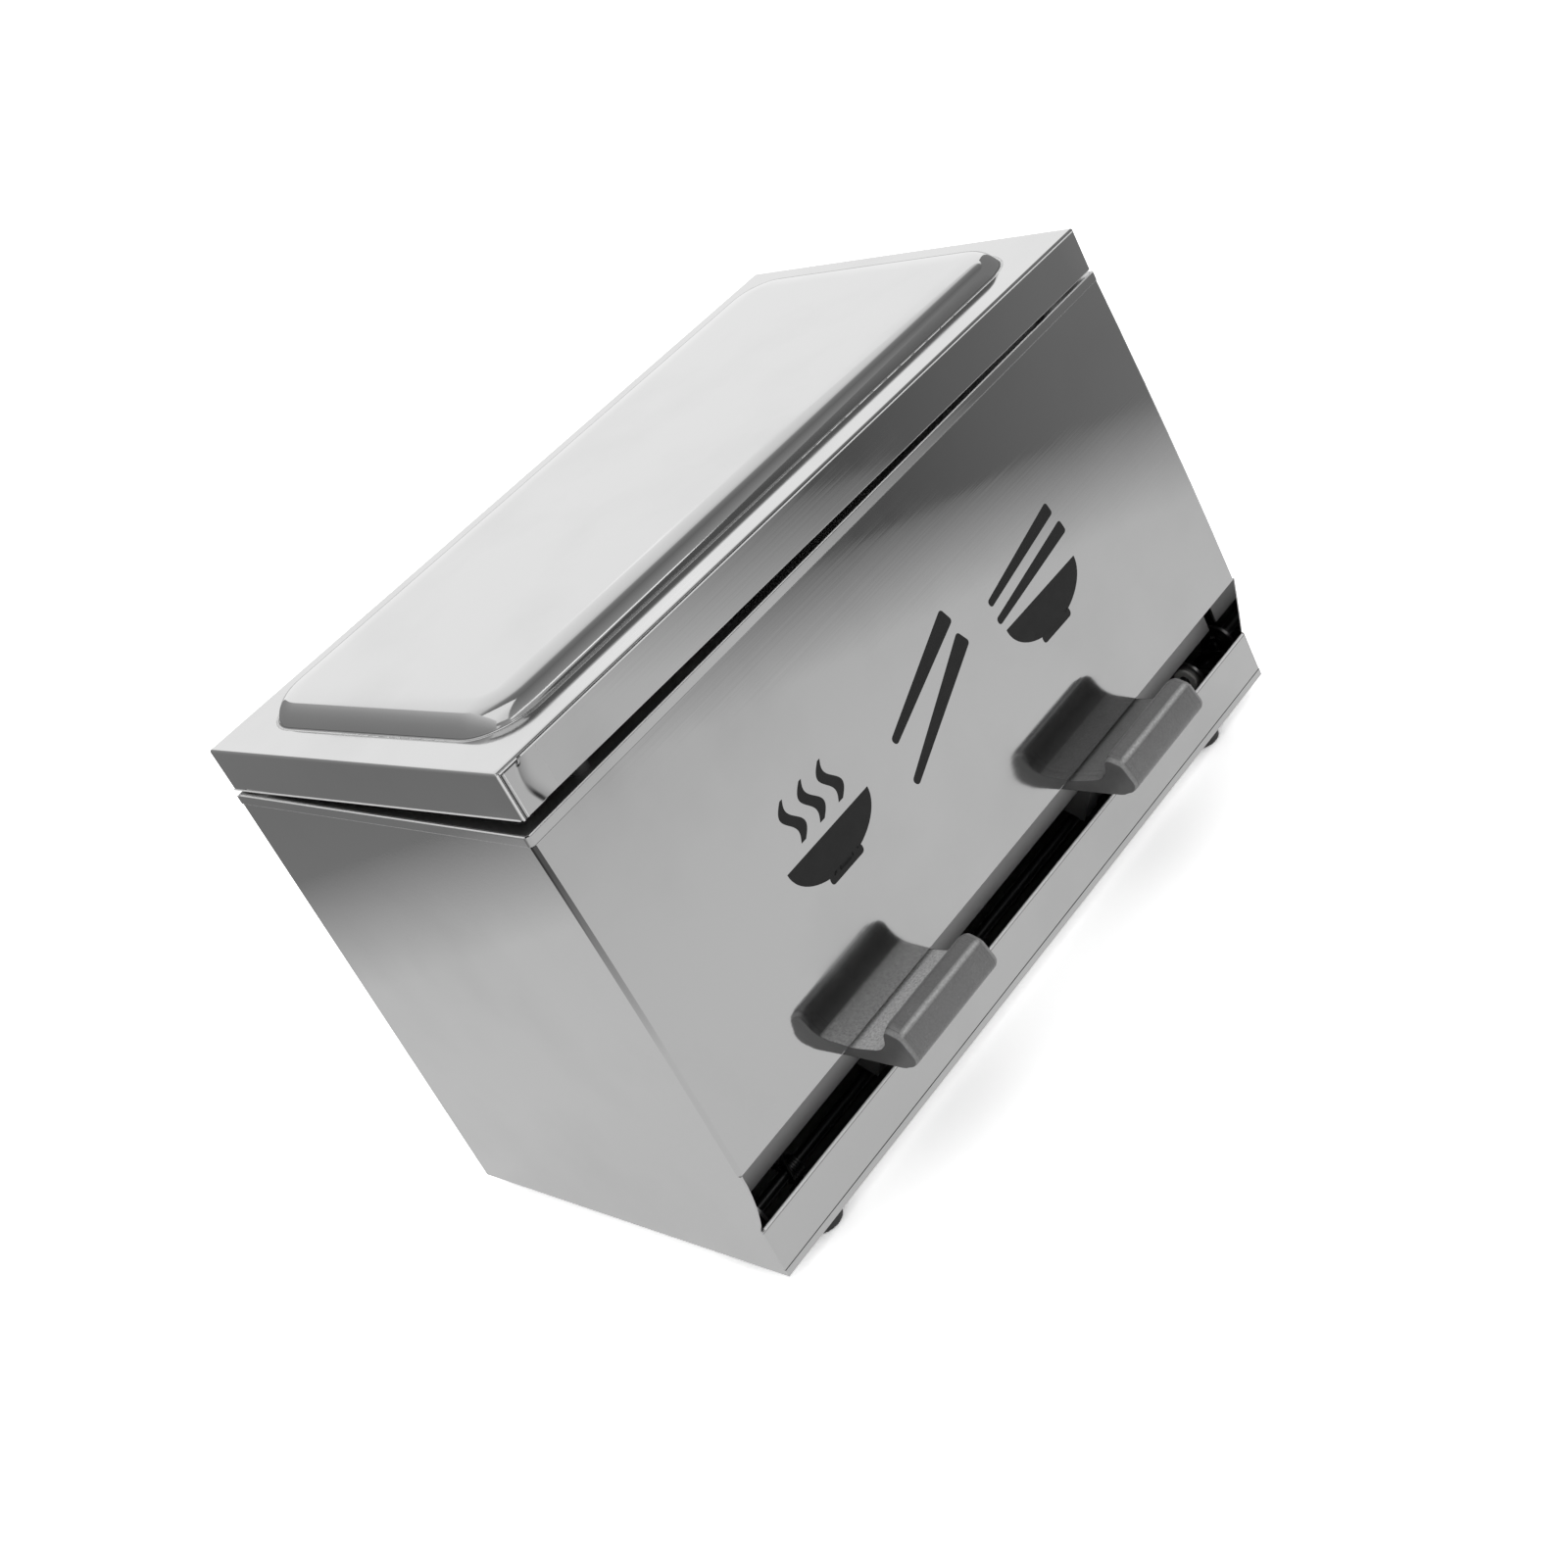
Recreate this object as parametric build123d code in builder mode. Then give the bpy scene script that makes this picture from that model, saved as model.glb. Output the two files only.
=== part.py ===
"""Chopstick holder: a stainless box with a flip lid and a press-down rocker that lets a pair out.

Chopsticks lie across the box on a sloping ramp and gather behind the front panel. A sheet shelf and
two plastic levers form a rocker on a cross axle near the floor. At rest the levers' tongues shut the
gap under the panel; pressing the levers tips them forward, and a row rolls out into their hooks.

Frame: X along the box, Y from front to back, Z up. The origin is on the table, under the middle of
the holder's whole outline, from the tips of the hooks to the hinge behind the back panel.
"""

import os
from math import cos, radians, sin

from build123d import *

os.makedirs("parts", exist_ok=True)

# ---- Box, mm ----
body_width = 278.0
body_depth = 140.0  # face of the lip to the back panel
body_height = 159.8  # underside of the floor to the top of the walls
sheet = 0.6
bend_radius = 1.2  # outside of the upright front bends
hem_height = 3.0  # hem round the top edge
hem_thickness = 0.35
panel_hem = 6.0  # hem folded in along the front panel's lower edge
pan_flange = 10.0  # upturned edges of the floor, inside the walls
back_flange = 12.0  # forward flanges of the back panel

# ---- Slot under the front panel ----
lip_height = 17.8
lip_hem = 4.0
lip_fold = 2.4  # height of the fold along the foot of the lip
slot_top = 40.5  # lower edge of the front panel
panel_kick = 5.1  # how far that edge stands out in front of the lip
panel_bow = 1.0  # outward bow of the panel at its middle
slot_wall_left = (4.0, 0.9)  # upright stretch below the panel, then outward bow, of the wall's edge
slot_wall_right = (0.4, 0.1)
lip_corner_radius = 0.5

# ---- Rim frame inside the mouth ----
rim_sheet = 0.8
rim_leg = 12.0
rim_flange = 9.0
rim_corner = 1.0

# ---- Hopper ramp ----
ramp_sheet = 0.7
ramp_front = 14.0  # free front edge, behind the lip's face
ramp_clearance = 0.2  # above the levers' pads, which stop against it
ramp_back_height = 75.0
ramp_back_flange = 12.0
ramp_side_flange = 8.0
ramp_hem = 8.0

# ---- Feet ----
foot_height = 4.6
foot_radius = 6.3
foot_top_radius = 5.8
foot_edge_radius = 0.7
foot_left_inset = 24.0
foot_right_inset = 31.0
foot_inset_y = 8.2
foot_stem_radius = 1.9
foot_barb_radius = 2.9
foot_barb_height = 3.0
foot_barb_tip = 1.1
foot_hole_clearance = 0.15

# ---- Rocker axle ----
axle_radius = 2.0
axle_y = 21.5
axle_z = 5.5
axle_overhang = 2.6  # rod beyond each bracket
axle_chamfer = 0.4
bracket_inset = 11.8  # outside of the wall to the bracket's upright
bracket_sheet = 1.2
bracket_foot = 9.4
bracket_width = 14.0
bush_wall = 1.0
bush_flange_radius = 4.2
bush_flange = 1.0
bush_clearance = 0.05
clip_radius = 3.5
clip_thickness = 0.6
clip_groove = 0.35
clip_slack = 0.06
clip_gap = 2.4
bracket_rivet_radius = 1.5
bracket_rivet_head = 3.0
bracket_rivet_head_height = 0.5
bracket_rivet_spacing = 8.0

# ---- Shelf of the rocker ----
shelf_sheet = 0.8
shelf_end_gap = 2.4  # to the inside of each side wall
shelf_top = 36.4
shelf_front = 11.0
shelf_back = 26.0
apron_bottom = 20.6
shelf_bend = 1.2

# ---- Press levers ----
lever_width = 42.0
lever_left_x = -65.4
lever_right_x = 54.5
hook_reach = 29.5  # hook's outer face in front of the lip
hook_thickness = 10.5  # at its root
hook_top = 49.9
hook_root_rise = 2.4  # inner root above the tongue
hook_lean = 2.5  # inner face, back from root to crest
hook_crest_drop = 2.4  # the crest slopes down to its outer edge
hook_face_lean = 2.3  # outer face, from its foot back to the crest
hook_foot_rise = 3.9  # widest point above the underside
hook_belly = 3.2
hook_end_radius = 2.4  # upright corners of the outer face
tongue_bottom = 35.0
tongue_dip = 38.4  # top of the tongue under the panel's edge
dip_behind = 1.6  # that place, behind the panel's outside
pad_top = 38.8
pad_back = 24.0
lever_clearance = 0.2
lever_edge = 0.4
gusset_thickness = 8.0
gusset_front = 9.0  # front end, ahead of the lip
gusset_sink = 0.6  # overlap with the tongue
gusset_waist = [(5.6, 25.4), (7.0, 20.0)]  # front edge where it passes behind the lip
gusset_foot = [(-3.6, -2.2), (3.4, 2.2)]  # where it meets the hub, from the axle
hub_radius = 4.5
hub_length = 14.0
hub_clearance = 0.05
lever_screw_radius = 1.4
lever_screw_head = 2.7
lever_screw_head_height = 1.7
lever_screw_head_round = 0.6
lever_screw_spacing = 28.0
lever_screw_y = 18.5
lever_screw_cover = 0.6  # plastic left above the tip
screw_clearance = 0.1

# ---- Torsion springs ----
spring_inset = 18.7  # from the bracket to the middle of the coil
spring_outer_radius = 3.75
spring_wire = 1.0
spring_leg_radius = 0.47  # the straightened ends are drawn a little thinner
spring_turns = 6
spring_foot_reach = 14.0
spring_foot_gap = 0.08
spring_tip_gap = 0.4  # the shelf dips a little over the leg as it tips

# ---- Hinge ----
knuckle_radius = 1.9
knuckle_count = 11
knuckle_gap = 0.3
pin_radius = 1.0
pin_clearance = 0.04
pin_head_radius = 1.5
pin_head = 0.6
hinge_length = 220.0
hinge_sheet = 0.8
hinge_stand_off = 0.2  # barrel to the back panel
hinge_drop = 1.4  # pin below the top of the walls
body_leaf_height = 18.0
lid_leaf_height = 11.5
hinge_rivet_radius = 1.4
hinge_rivet_head = 2.6
hinge_rivet_head_height = 0.6
hinge_rivet_taper = 20  # degrees
hinge_rivet_count = 6
hinge_rivet_edge = 14.0  # first rivet to the end of the leaf
body_rivet_drop = 15.2
lid_rivet_rise = 8.0

# ---- Lid ----
lid_side_inset = 1.35  # skirt inside the box's side face
lid_front = -0.5  # front of the skirt, behind the lip's face
lid_overhang = 3.0  # rear of the skirt behind the back panel
lid_seat = 0.8  # skirt above the walls when level
skirt_height = 14.8
lid_edge_radius = 0.9
lid_corner_radius = 1.2
lid_hem = 6.0
lid_rest_tilt = 1.3  # degrees, the front held up by the bumpers
pillow_margin = 12.0  # flat border round the pillow
pillow_height = 5.6
pillow_slope = 3.5
pillow_corner = 10.0
pillow_top_radius = 5.0
pillow_foot_radius = 0.8

# ---- Bumpers under the lid ----
bumper_radius = 3.0
bumper_inset = 27.0
bumper_y = 5.6
bumper_gap = 0.25

# ---- Derived sizes ----
half_width = body_width / 2
inner_half = half_width - sheet
hinge_behind = hinge_stand_off + knuckle_radius
outline_depth = hook_reach + body_depth + hinge_behind + knuckle_radius
front_y = hook_reach - outline_depth / 2  # the lip's face in the frame
floor_top = sheet
hinge_y = body_depth + hinge_behind
hinge_z = body_height - hinge_drop
skirt_rise = body_height + lid_seat - hinge_z  # skirt's lower edge above the pin
lid_rise = skirt_rise + skirt_height
bracket_x = half_width - bracket_inset
axle_half = bracket_x + bracket_sheet + axle_overhang
spring_x = bracket_x - spring_inset
shelf_length = 2 * (inner_half - shelf_end_gap)
lid_width = body_width - 2 * lid_side_inset
lid_back = body_depth + lid_overhang
lid_depth = lid_back - lid_front
lid_middle = (lid_front + lid_back) / 2
pillow_length = lid_width - 2 * pillow_margin
pillow_width = lid_depth - 2 * pillow_margin
ramp_under = pad_top + ramp_clearance
ramp_top = ramp_under + 2 * ramp_sheet
bumper_top = (
    hinge_z
    + skirt_rise * cos(radians(lid_rest_tilt))
    + (hinge_y - bumper_y - bumper_radius) * sin(radians(lid_rest_tilt))
    - bumper_gap
)
rivet_span = hinge_length - 2 * hinge_rivet_edge
rivet_places = [
    (index * rivet_span / (hinge_rivet_count - 1) - rivet_span / 2, 0)
    for index in range(hinge_rivet_count)
]


def at(y, z):
    """Point of the side view, y back from the lip's face and z up from the underside of the floor."""
    return (front_y + y, foot_height + z)


def across(x):
    """Plane square to the box's length at x, with the side view's axes."""
    return Plane.YZ.offset(x)


def level(z):
    """Plane parallel to the floor at height z above its underside, centred in front of the lip's face."""
    return Plane((0, front_y, foot_height + z))


def lid_level(rise):
    """Plane parallel to the lid's top at a height above the hinge pin, tipped with the resting lid."""
    tip = radians(lid_rest_tilt)
    up = Vector(0, sin(tip), cos(tip))
    pin = Vector(0, front_y + hinge_y, foot_height + hinge_z)
    return Plane(pin + up * rise, x_dir=(1, 0, 0), z_dir=up)


def lid_y(y):
    """Distance along the lid, from the hinge pin, of a point y behind the lip's face."""
    return y - hinge_y


lid_plane = lid_level(0)
lid_axis = Axis(lid_plane.origin, lid_plane.z_dir)
# Rivet lines of the hinge, on the outside of the back panel and of the lid's rear skirt.
body_rivet_plane = Plane(
    (0, front_y + body_depth, foot_height + hinge_z - body_rivet_drop),
    x_dir=(-1, 0, 0),
    z_dir=(0, 1, 0),
)
lid_rivet_plane = Plane(
    lid_level(lid_rivet_rise).origin + lid_plane.y_dir * lid_y(lid_back),
    x_dir=(-1, 0, 0),
    z_dir=lid_plane.y_dir,
)


def rivet_holes(plane, depth):
    """Row of clearance holes for the hinge rivets, running inwards from a plane by depth."""
    with BuildPart() as holes:
        with BuildSketch(plane):
            with Locations(*rivet_places):
                Circle(hinge_rivet_radius + screw_clearance)
        extrude(amount=-depth)
    return holes.part


def rivet_row(plane):
    """Row of hinge rivets, headed on the leaf and on the sheet that it holds."""
    grip = sheet + hinge_sheet
    with BuildPart() as row:
        with BuildSketch(plane):
            with Locations(*rivet_places):
                Circle(hinge_rivet_radius)
        extrude(amount=-grip)
        for outward, start in ((1, 0), (-1, -grip)):
            with BuildSketch(plane.offset(start)):
                with Locations(*rivet_places):
                    Circle(hinge_rivet_head)
            extrude(amount=outward * hinge_rivet_head_height, taper=hinge_rivet_taper)
    return row.part


# ---- Body wrap: the front panel and both side walls, one bent sheet ----
def panel_line(inset):
    """Shallow curve of the front panel from its lower edge up to the rim."""
    middle = (slot_top + body_height) / 2
    foot = at(inset - panel_kick, slot_top)
    belly = at(inset - panel_kick / 2 - panel_bow, middle)
    return ThreePointArc(foot, belly, at(inset, body_height))


def wall_block(inset):
    """Solid inside the front panel and the walls above the slot, drawn in by inset."""
    with BuildPart() as block:
        with BuildSketch(Plane.YZ):
            with BuildLine():
                panel_line(inset)
                Polyline(
                    at(inset, body_height),
                    at(body_depth, body_height),
                    at(body_depth, slot_top),
                    at(inset - panel_kick, slot_top),
                )
            make_face()
        extrude(amount=half_width - inset, both=True)
        fillet(block.edges().filter_by(GeomType.CIRCLE), bend_radius - inset)
    return block.part


with BuildPart() as body_wrap:
    add(wall_block(0))
    add(wall_block(sheet), mode=Mode.SUBTRACT)
    # Side walls beside the slot, with their free front edge drawn back to the lip.
    for x, (drop, bow) in ((-half_width, slot_wall_left), (inner_half, slot_wall_right)):
        wall_edge_z = slot_top - drop
        edge_middle = at((sheet - panel_kick) / 2 - bow, (wall_edge_z + lip_height) / 2)
        with BuildSketch(across(x)):
            with BuildLine():
                Line(at(-panel_kick, slot_top), at(-panel_kick, wall_edge_z))
                ThreePointArc(
                    at(-panel_kick, wall_edge_z), edge_middle, at(sheet, lip_height)
                )
                Polyline(
                    at(sheet, lip_height),
                    at(sheet, 0),
                    at(body_depth, 0),
                    at(body_depth, slot_top),
                    at(-panel_kick, slot_top),
                )
            make_face()
        extrude(amount=sheet)
    # Hem folded out round the top edge.
    with BuildSketch(level(body_height - hem_height)) as hem_outline:
        with Locations((0, (body_depth - hem_thickness) / 2)):
            Rectangle(body_width + 2 * hem_thickness, body_depth + hem_thickness)
        fillet(hem_outline.vertices().group_by(Axis.Y)[0], bend_radius + hem_thickness)
        with Locations((0, (body_depth + sheet) / 2)):
            Rectangle(2 * inner_half, body_depth - sheet, mode=Mode.SUBTRACT)
    extrude(amount=hem_height)
    # Hem folded in along the panel's lower edge.
    with BuildSketch(across(0)):
        with BuildLine():
            Polyline(
                at(sheet - panel_kick, slot_top),
                at(2 * sheet - panel_kick, slot_top),
                at(2 * sheet - panel_kick, slot_top + panel_hem),
                at(sheet - panel_kick, slot_top + panel_hem),
                close=True,
            )
        make_face()
    extrude(amount=inner_half, both=True)
body_wrap.part.label = "body_wrap"
export_step(body_wrap.part, "parts/body_wrap.step")

# ---- Back panel: flat between the walls, with flanges turned forward along them ----
with BuildPart() as back_panel:
    with BuildSketch(level(0)):
        with Locations((0, body_depth - sheet / 2)):
            Rectangle(2 * inner_half, sheet)
    extrude(amount=body_height)
    with BuildSketch(level(floor_top)):
        for x in (-inner_half + sheet / 2, inner_half - sheet / 2):
            with Locations((x, body_depth - back_flange / 2)):
                Rectangle(sheet, back_flange)
    extrude(amount=body_height - rim_leg - floor_top)
    add(rivet_holes(body_rivet_plane, sheet), mode=Mode.SUBTRACT)
back_panel.part.label = "back_panel"
export_step(back_panel.part, "parts/back_panel.step")

# ---- Base pan: the floor, its upturned edges and the low front lip ----
foot_places = [
    (side, row, x, y)
    for side, x in (
        ("left", -half_width + foot_left_inset),
        ("right", half_width - foot_right_inset),
    )
    for row, y in (("front", foot_inset_y), ("rear", body_depth - foot_inset_y))
]
bracket_rivet_x = bracket_x + (bracket_sheet + bracket_foot) / 2
bracket_rivets = [
    (side * bracket_rivet_x, axle_y + step * bracket_rivet_spacing / 2)
    for side in (-1, 1)
    for step in (-1, 1)
]
pan_side_length = body_depth - back_flange - 4 * sheet

with BuildPart() as base_pan:
    with BuildSketch(level(0)):
        with Locations((0, (body_depth - sheet) / 2)):
            Rectangle(2 * inner_half, body_depth - sheet)
        with Locations(*[(x, y) for _, _, x, y in foot_places]):
            Circle(foot_stem_radius + foot_hole_clearance, mode=Mode.SUBTRACT)
        with Locations(*bracket_rivets):
            Circle(bracket_rivet_radius + screw_clearance, mode=Mode.SUBTRACT)
    extrude(amount=sheet)
    # Lip across the front, closing the ends of the side walls.
    with BuildSketch(level(0)):
        with Locations((0, sheet / 2)):
            Rectangle(body_width, sheet)
    extrude(amount=lip_height)
    with BuildSketch(level(0)):
        with Locations((0, 0)):
            Rectangle(body_width, sheet / 2)
    extrude(amount=lip_fold)
    # Hem folded in along the lip's top edge.
    with BuildSketch(level(lip_height - lip_hem)):
        with Locations((0, 3 * sheet / 2)):
            Rectangle(2 * inner_half, sheet)
    extrude(amount=lip_hem)
    # Upturned side and rear edges.
    with BuildSketch(level(0)):
        for x in (-inner_half + sheet / 2, inner_half - sheet / 2):
            with Locations((x, 3 * sheet + pan_side_length / 2)):
                Rectangle(sheet, pan_side_length)
        with Locations((0, body_depth - 3 * sheet / 2)):
            Rectangle(2 * inner_half - 4 * sheet, sheet)
    extrude(amount=pan_flange)
    lip_top = base_pan.edges().filter_by(Axis.X).group_by(Axis.Z)[-1].sort_by(Axis.Y)
    fillet([lip_top[0], lip_top[-1]], lip_corner_radius)
base_pan.part.label = "base_pan"
export_step(base_pan.part, "parts/base_pan.step")

# ---- Rim frame: an angle section round the mouth ----
rim_width = 2 * inner_half
rim_depth = body_depth - 2 * sheet


def rim_ring(inset, height):
    """Flat ring of the rim frame, from the walls inwards by inset, hung from the top by height."""
    with BuildPart() as ring:
        with BuildSketch(level(body_height - height)):
            with Locations((0, body_depth / 2)):
                RectangleRounded(rim_width, rim_depth, rim_corner)
                RectangleRounded(
                    rim_width - 2 * inset,
                    rim_depth - 2 * inset,
                    rim_corner / 2,
                    mode=Mode.SUBTRACT,
                )
        extrude(amount=height)
    return ring.part


with BuildPart() as rim_frame:
    add(rim_ring(rim_sheet, rim_leg))
    add(rim_ring(rim_flange, rim_sheet))
rim_frame.part.label = "rim_frame"
export_step(rim_frame.part, "parts/rim_frame.step")

# ---- Hopper ramp: slopes forward from the back panel to its hemmed front edge ----
ramp_back_y = body_depth - sheet
ramp_slope = (ramp_back_height - ramp_top) / (ramp_back_y - ramp_front)
ramp_side_end = body_depth - back_flange - 2 * sheet


def ramp_z(y):
    """Height of the ramp's top face at y."""
    return ramp_top + ramp_slope * (y - ramp_front)


with BuildPart() as hopper_ramp:
    with BuildSketch(across(0)):
        with BuildLine():
            Polyline(
                at(ramp_front, ramp_top),
                at(ramp_back_y - ramp_sheet, ramp_z(ramp_back_y - ramp_sheet)),
                at(ramp_back_y - ramp_sheet, ramp_back_height + ramp_back_flange),
                at(ramp_back_y, ramp_back_height + ramp_back_flange),
                at(ramp_back_y, ramp_back_height - ramp_sheet),
                at(ramp_front + ramp_hem, ramp_z(ramp_front + ramp_hem) - ramp_sheet),
                at(ramp_front + ramp_hem, ramp_z(ramp_front + ramp_hem) - 2 * ramp_sheet),
                at(ramp_front, ramp_under),
                close=True,
            )
        make_face()
    extrude(amount=inner_half - sheet, both=True)
    for x in (-inner_half, inner_half - ramp_sheet):
        with BuildSketch(across(x)):
            with BuildLine():
                Polyline(
                    at(ramp_front, ramp_top - ramp_sheet),
                    at(ramp_side_end, ramp_z(ramp_side_end) - ramp_sheet),
                    at(ramp_side_end, ramp_z(ramp_side_end) + ramp_side_flange),
                    at(ramp_front, ramp_top + ramp_side_flange),
                    close=True,
                )
            make_face()
        extrude(amount=ramp_sheet)
hopper_ramp.part.label = "hopper_ramp"
export_step(hopper_ramp.part, "parts/hopper_ramp.step")

# ---- Feet: rubber buttons pushed through the floor ----
for side, row, x, y in foot_places:
    centre = Vector(x, front_y + y, 0)
    seat_z = foot_height + sheet + foot_hole_clearance
    with BuildPart() as foot:
        with BuildSketch(Plane(centre, x_dir=(1, 0, 0), z_dir=(0, -1, 0))):
            with BuildLine():
                Polyline(
                    (0, 0),
                    (foot_radius, 0),
                    (foot_top_radius, foot_height),
                    (foot_stem_radius, foot_height),
                    (foot_stem_radius, seat_z),
                    (foot_barb_radius, seat_z),
                    (foot_barb_tip, seat_z + foot_barb_height),
                    (0, seat_z + foot_barb_height),
                    close=True,
                )
            make_face()
        revolve(axis=Axis(centre, (0, 0, 1)))
        rim = foot.edges().filter_by(GeomType.CIRCLE).group_by(Axis.Z)[0]
        fillet(rim, foot_edge_radius)
    foot.part.label = f"foot_{row}_{side}"
    export_step(foot.part, f"parts/foot_{row}_{side}.step")

# ---- Rocker axle: a rod across the box, grooved for its clips ----
clip_x = bracket_x + bracket_sheet + clip_thickness
axle_centre = Vector(0, *at(axle_y, axle_z))
axle_line = Plane(axle_centre, x_dir=(0, 1, 0), z_dir=(1, 0, 0))

with BuildPart() as axle_rod:
    with BuildSketch(axle_line):
        Circle(axle_radius)
    extrude(amount=axle_half, both=True)
    chamfer(axle_rod.edges().filter_by(GeomType.CIRCLE), axle_chamfer)
    for x in (-clip_x, clip_x):
        with BuildSketch(axle_line.offset(x)):
            Circle(axle_radius)
            Circle(axle_radius - clip_groove, mode=Mode.SUBTRACT)
        extrude(amount=clip_thickness / 2 + clip_slack, both=True, mode=Mode.SUBTRACT)
axle_rod.part.label = "axle_rod"
export_step(axle_rod.part, "parts/axle_rod.step")

# ---- Axle clips: open rings snapped into the grooves outside the brackets ----
with BuildPart() as axle_clips:
    for x in (-clip_x, clip_x):
        with BuildSketch(axle_line.offset(x)):
            Circle(clip_radius)
            Circle(axle_radius - clip_groove, mode=Mode.SUBTRACT)
            with Locations((0, clip_radius / 2)):
                Rectangle(clip_gap, clip_radius + clip_gap, mode=Mode.SUBTRACT)
        extrude(amount=clip_thickness / 2, both=True)
axle_clips.part.label = "axle_clips"
export_step(axle_clips.part, "parts/axle_clips.step")

# ---- Axle brackets and bushes, one at each end ----
bush_radius = axle_radius + bush_clearance + bush_wall
for side, sign in (("left", -1), ("right", 1)):
    upright_plane = axle_line.offset(sign * bracket_x)
    with BuildPart() as axle_bracket:
        with BuildSketch(upright_plane):
            Circle(bracket_width / 2)
            with Locations((0, (floor_top - axle_z) / 2)):
                Rectangle(bracket_width, axle_z - floor_top)
            with Locations((0, floor_top - axle_z - bracket_width / 2)):
                Rectangle(bracket_width, bracket_width, mode=Mode.SUBTRACT)
            Circle(bush_radius + bush_clearance, mode=Mode.SUBTRACT)
        extrude(amount=sign * bracket_sheet)
        with BuildSketch(level(floor_top)):
            with Locations((sign * (bracket_x + (bracket_sheet + bracket_foot) / 2), axle_y)):
                Rectangle(bracket_sheet + bracket_foot, bracket_width)
            with Locations(*[place for place in bracket_rivets if place[0] * sign > 0]):
                Circle(bracket_rivet_radius + screw_clearance, mode=Mode.SUBTRACT)
        extrude(amount=bracket_sheet)
    axle_bracket.part.label = f"axle_bracket_{side}"
    export_step(axle_bracket.part, f"parts/axle_bracket_{side}.step")

    with BuildPart() as axle_bush:
        with BuildSketch(upright_plane):
            Circle(bush_radius)
            Circle(axle_radius + bush_clearance, mode=Mode.SUBTRACT)
        extrude(amount=sign * bracket_sheet)
        with BuildSketch(upright_plane):
            Circle(bush_flange_radius)
            Circle(axle_radius + bush_clearance, mode=Mode.SUBTRACT)
        extrude(amount=-sign * bush_flange)
    axle_bush.part.label = f"axle_bush_{side}"
    export_step(axle_bush.part, f"parts/axle_bush_{side}.step")

# ---- Bracket rivets: through the brackets' feet and the floor ----
bracket_grip = sheet + bracket_sheet
with BuildPart() as bracket_rivet_set:
    with BuildSketch(level(0)):
        with Locations(*bracket_rivets):
            Circle(bracket_rivet_radius)
    extrude(amount=bracket_grip)
    for z in (-bracket_rivet_head_height, bracket_grip):
        with BuildSketch(level(z)):
            with Locations(*bracket_rivets):
                Circle(bracket_rivet_head)
        extrude(amount=bracket_rivet_head_height)
bracket_rivet_set.part.label = "bracket_rivets"
export_step(bracket_rivet_set.part, "parts/bracket_rivets.step")

# ---- Rocker shelf: a bent strip that feeds the levers, with an apron hanging in the slot ----
lever_places = (("left", lever_left_x), ("right", lever_right_x))
lever_screws_at = [
    (x + step * lever_screw_spacing / 2, lever_screw_y)
    for _, x in lever_places
    for step in (-1, 1)
]
shelf_under = shelf_top - shelf_sheet

with BuildPart() as rocker_shelf:
    with BuildSketch(across(0)):
        with BuildLine():
            FilletPolyline(
                at(shelf_back, shelf_under),
                at(shelf_back, shelf_top),
                at(shelf_front, shelf_top),
                at(shelf_front, apron_bottom),
                at(shelf_front + shelf_sheet, apron_bottom),
                at(shelf_front + shelf_sheet, shelf_under),
                radius=[0, 0, shelf_bend, 0, 0, shelf_bend - shelf_sheet],
                close=True,
            )
        make_face()
    extrude(amount=shelf_length / 2, both=True)
    with BuildSketch(level(shelf_under)):
        with Locations(*lever_screws_at):
            Circle(lever_screw_radius + screw_clearance)
    extrude(amount=shelf_sheet, mode=Mode.SUBTRACT)
rocker_shelf.part.label = "rocker_shelf"
export_step(rocker_shelf.part, "parts/rocker_shelf.step")

# ---- Press levers: tongue, hook, gusset and hub in one moulding ----
pad_front = shelf_front - lever_clearance
hook_face = -hook_reach
hook_root = hook_face + hook_thickness
crest_back = hook_root - hook_lean
crest_front = hook_face + hook_face_lean
screw_tip = pad_top - lever_screw_cover
lever_profile = [  # point of the side view, then the radius of its corner
    (pad_back, shelf_top, 0),
    (pad_back, pad_top, 0.8),
    (shelf_front, pad_top, 0),
    (dip_behind - panel_kick, tongue_dip, 9.0),
    (hook_root, tongue_dip + hook_root_rise, 1.4),
    (crest_back, hook_top, 1.3),
    (crest_front, hook_top - hook_crest_drop, 0.7),
    (hook_face, tongue_bottom + hook_foot_rise, 2.0),
    (hook_face + hook_belly / 2, tongue_bottom + hook_belly / 2, 1.6),
    (hook_face + 2 * hook_belly, tongue_bottom, 4.0),
    (pad_front, tongue_bottom, 0),
    (pad_front, shelf_top, 0),
]
gusset_outline = [
    (-gusset_front, tongue_bottom + gusset_sink),
    *gusset_waist,
    *[(axle_y + y, axle_z + z) for y, z in gusset_foot],
    (shelf_front + shelf_sheet + 1.0, apron_bottom - 1.2),
    (pad_front, apron_bottom - lever_clearance),
    (pad_front, tongue_bottom + gusset_sink),
]

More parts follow.
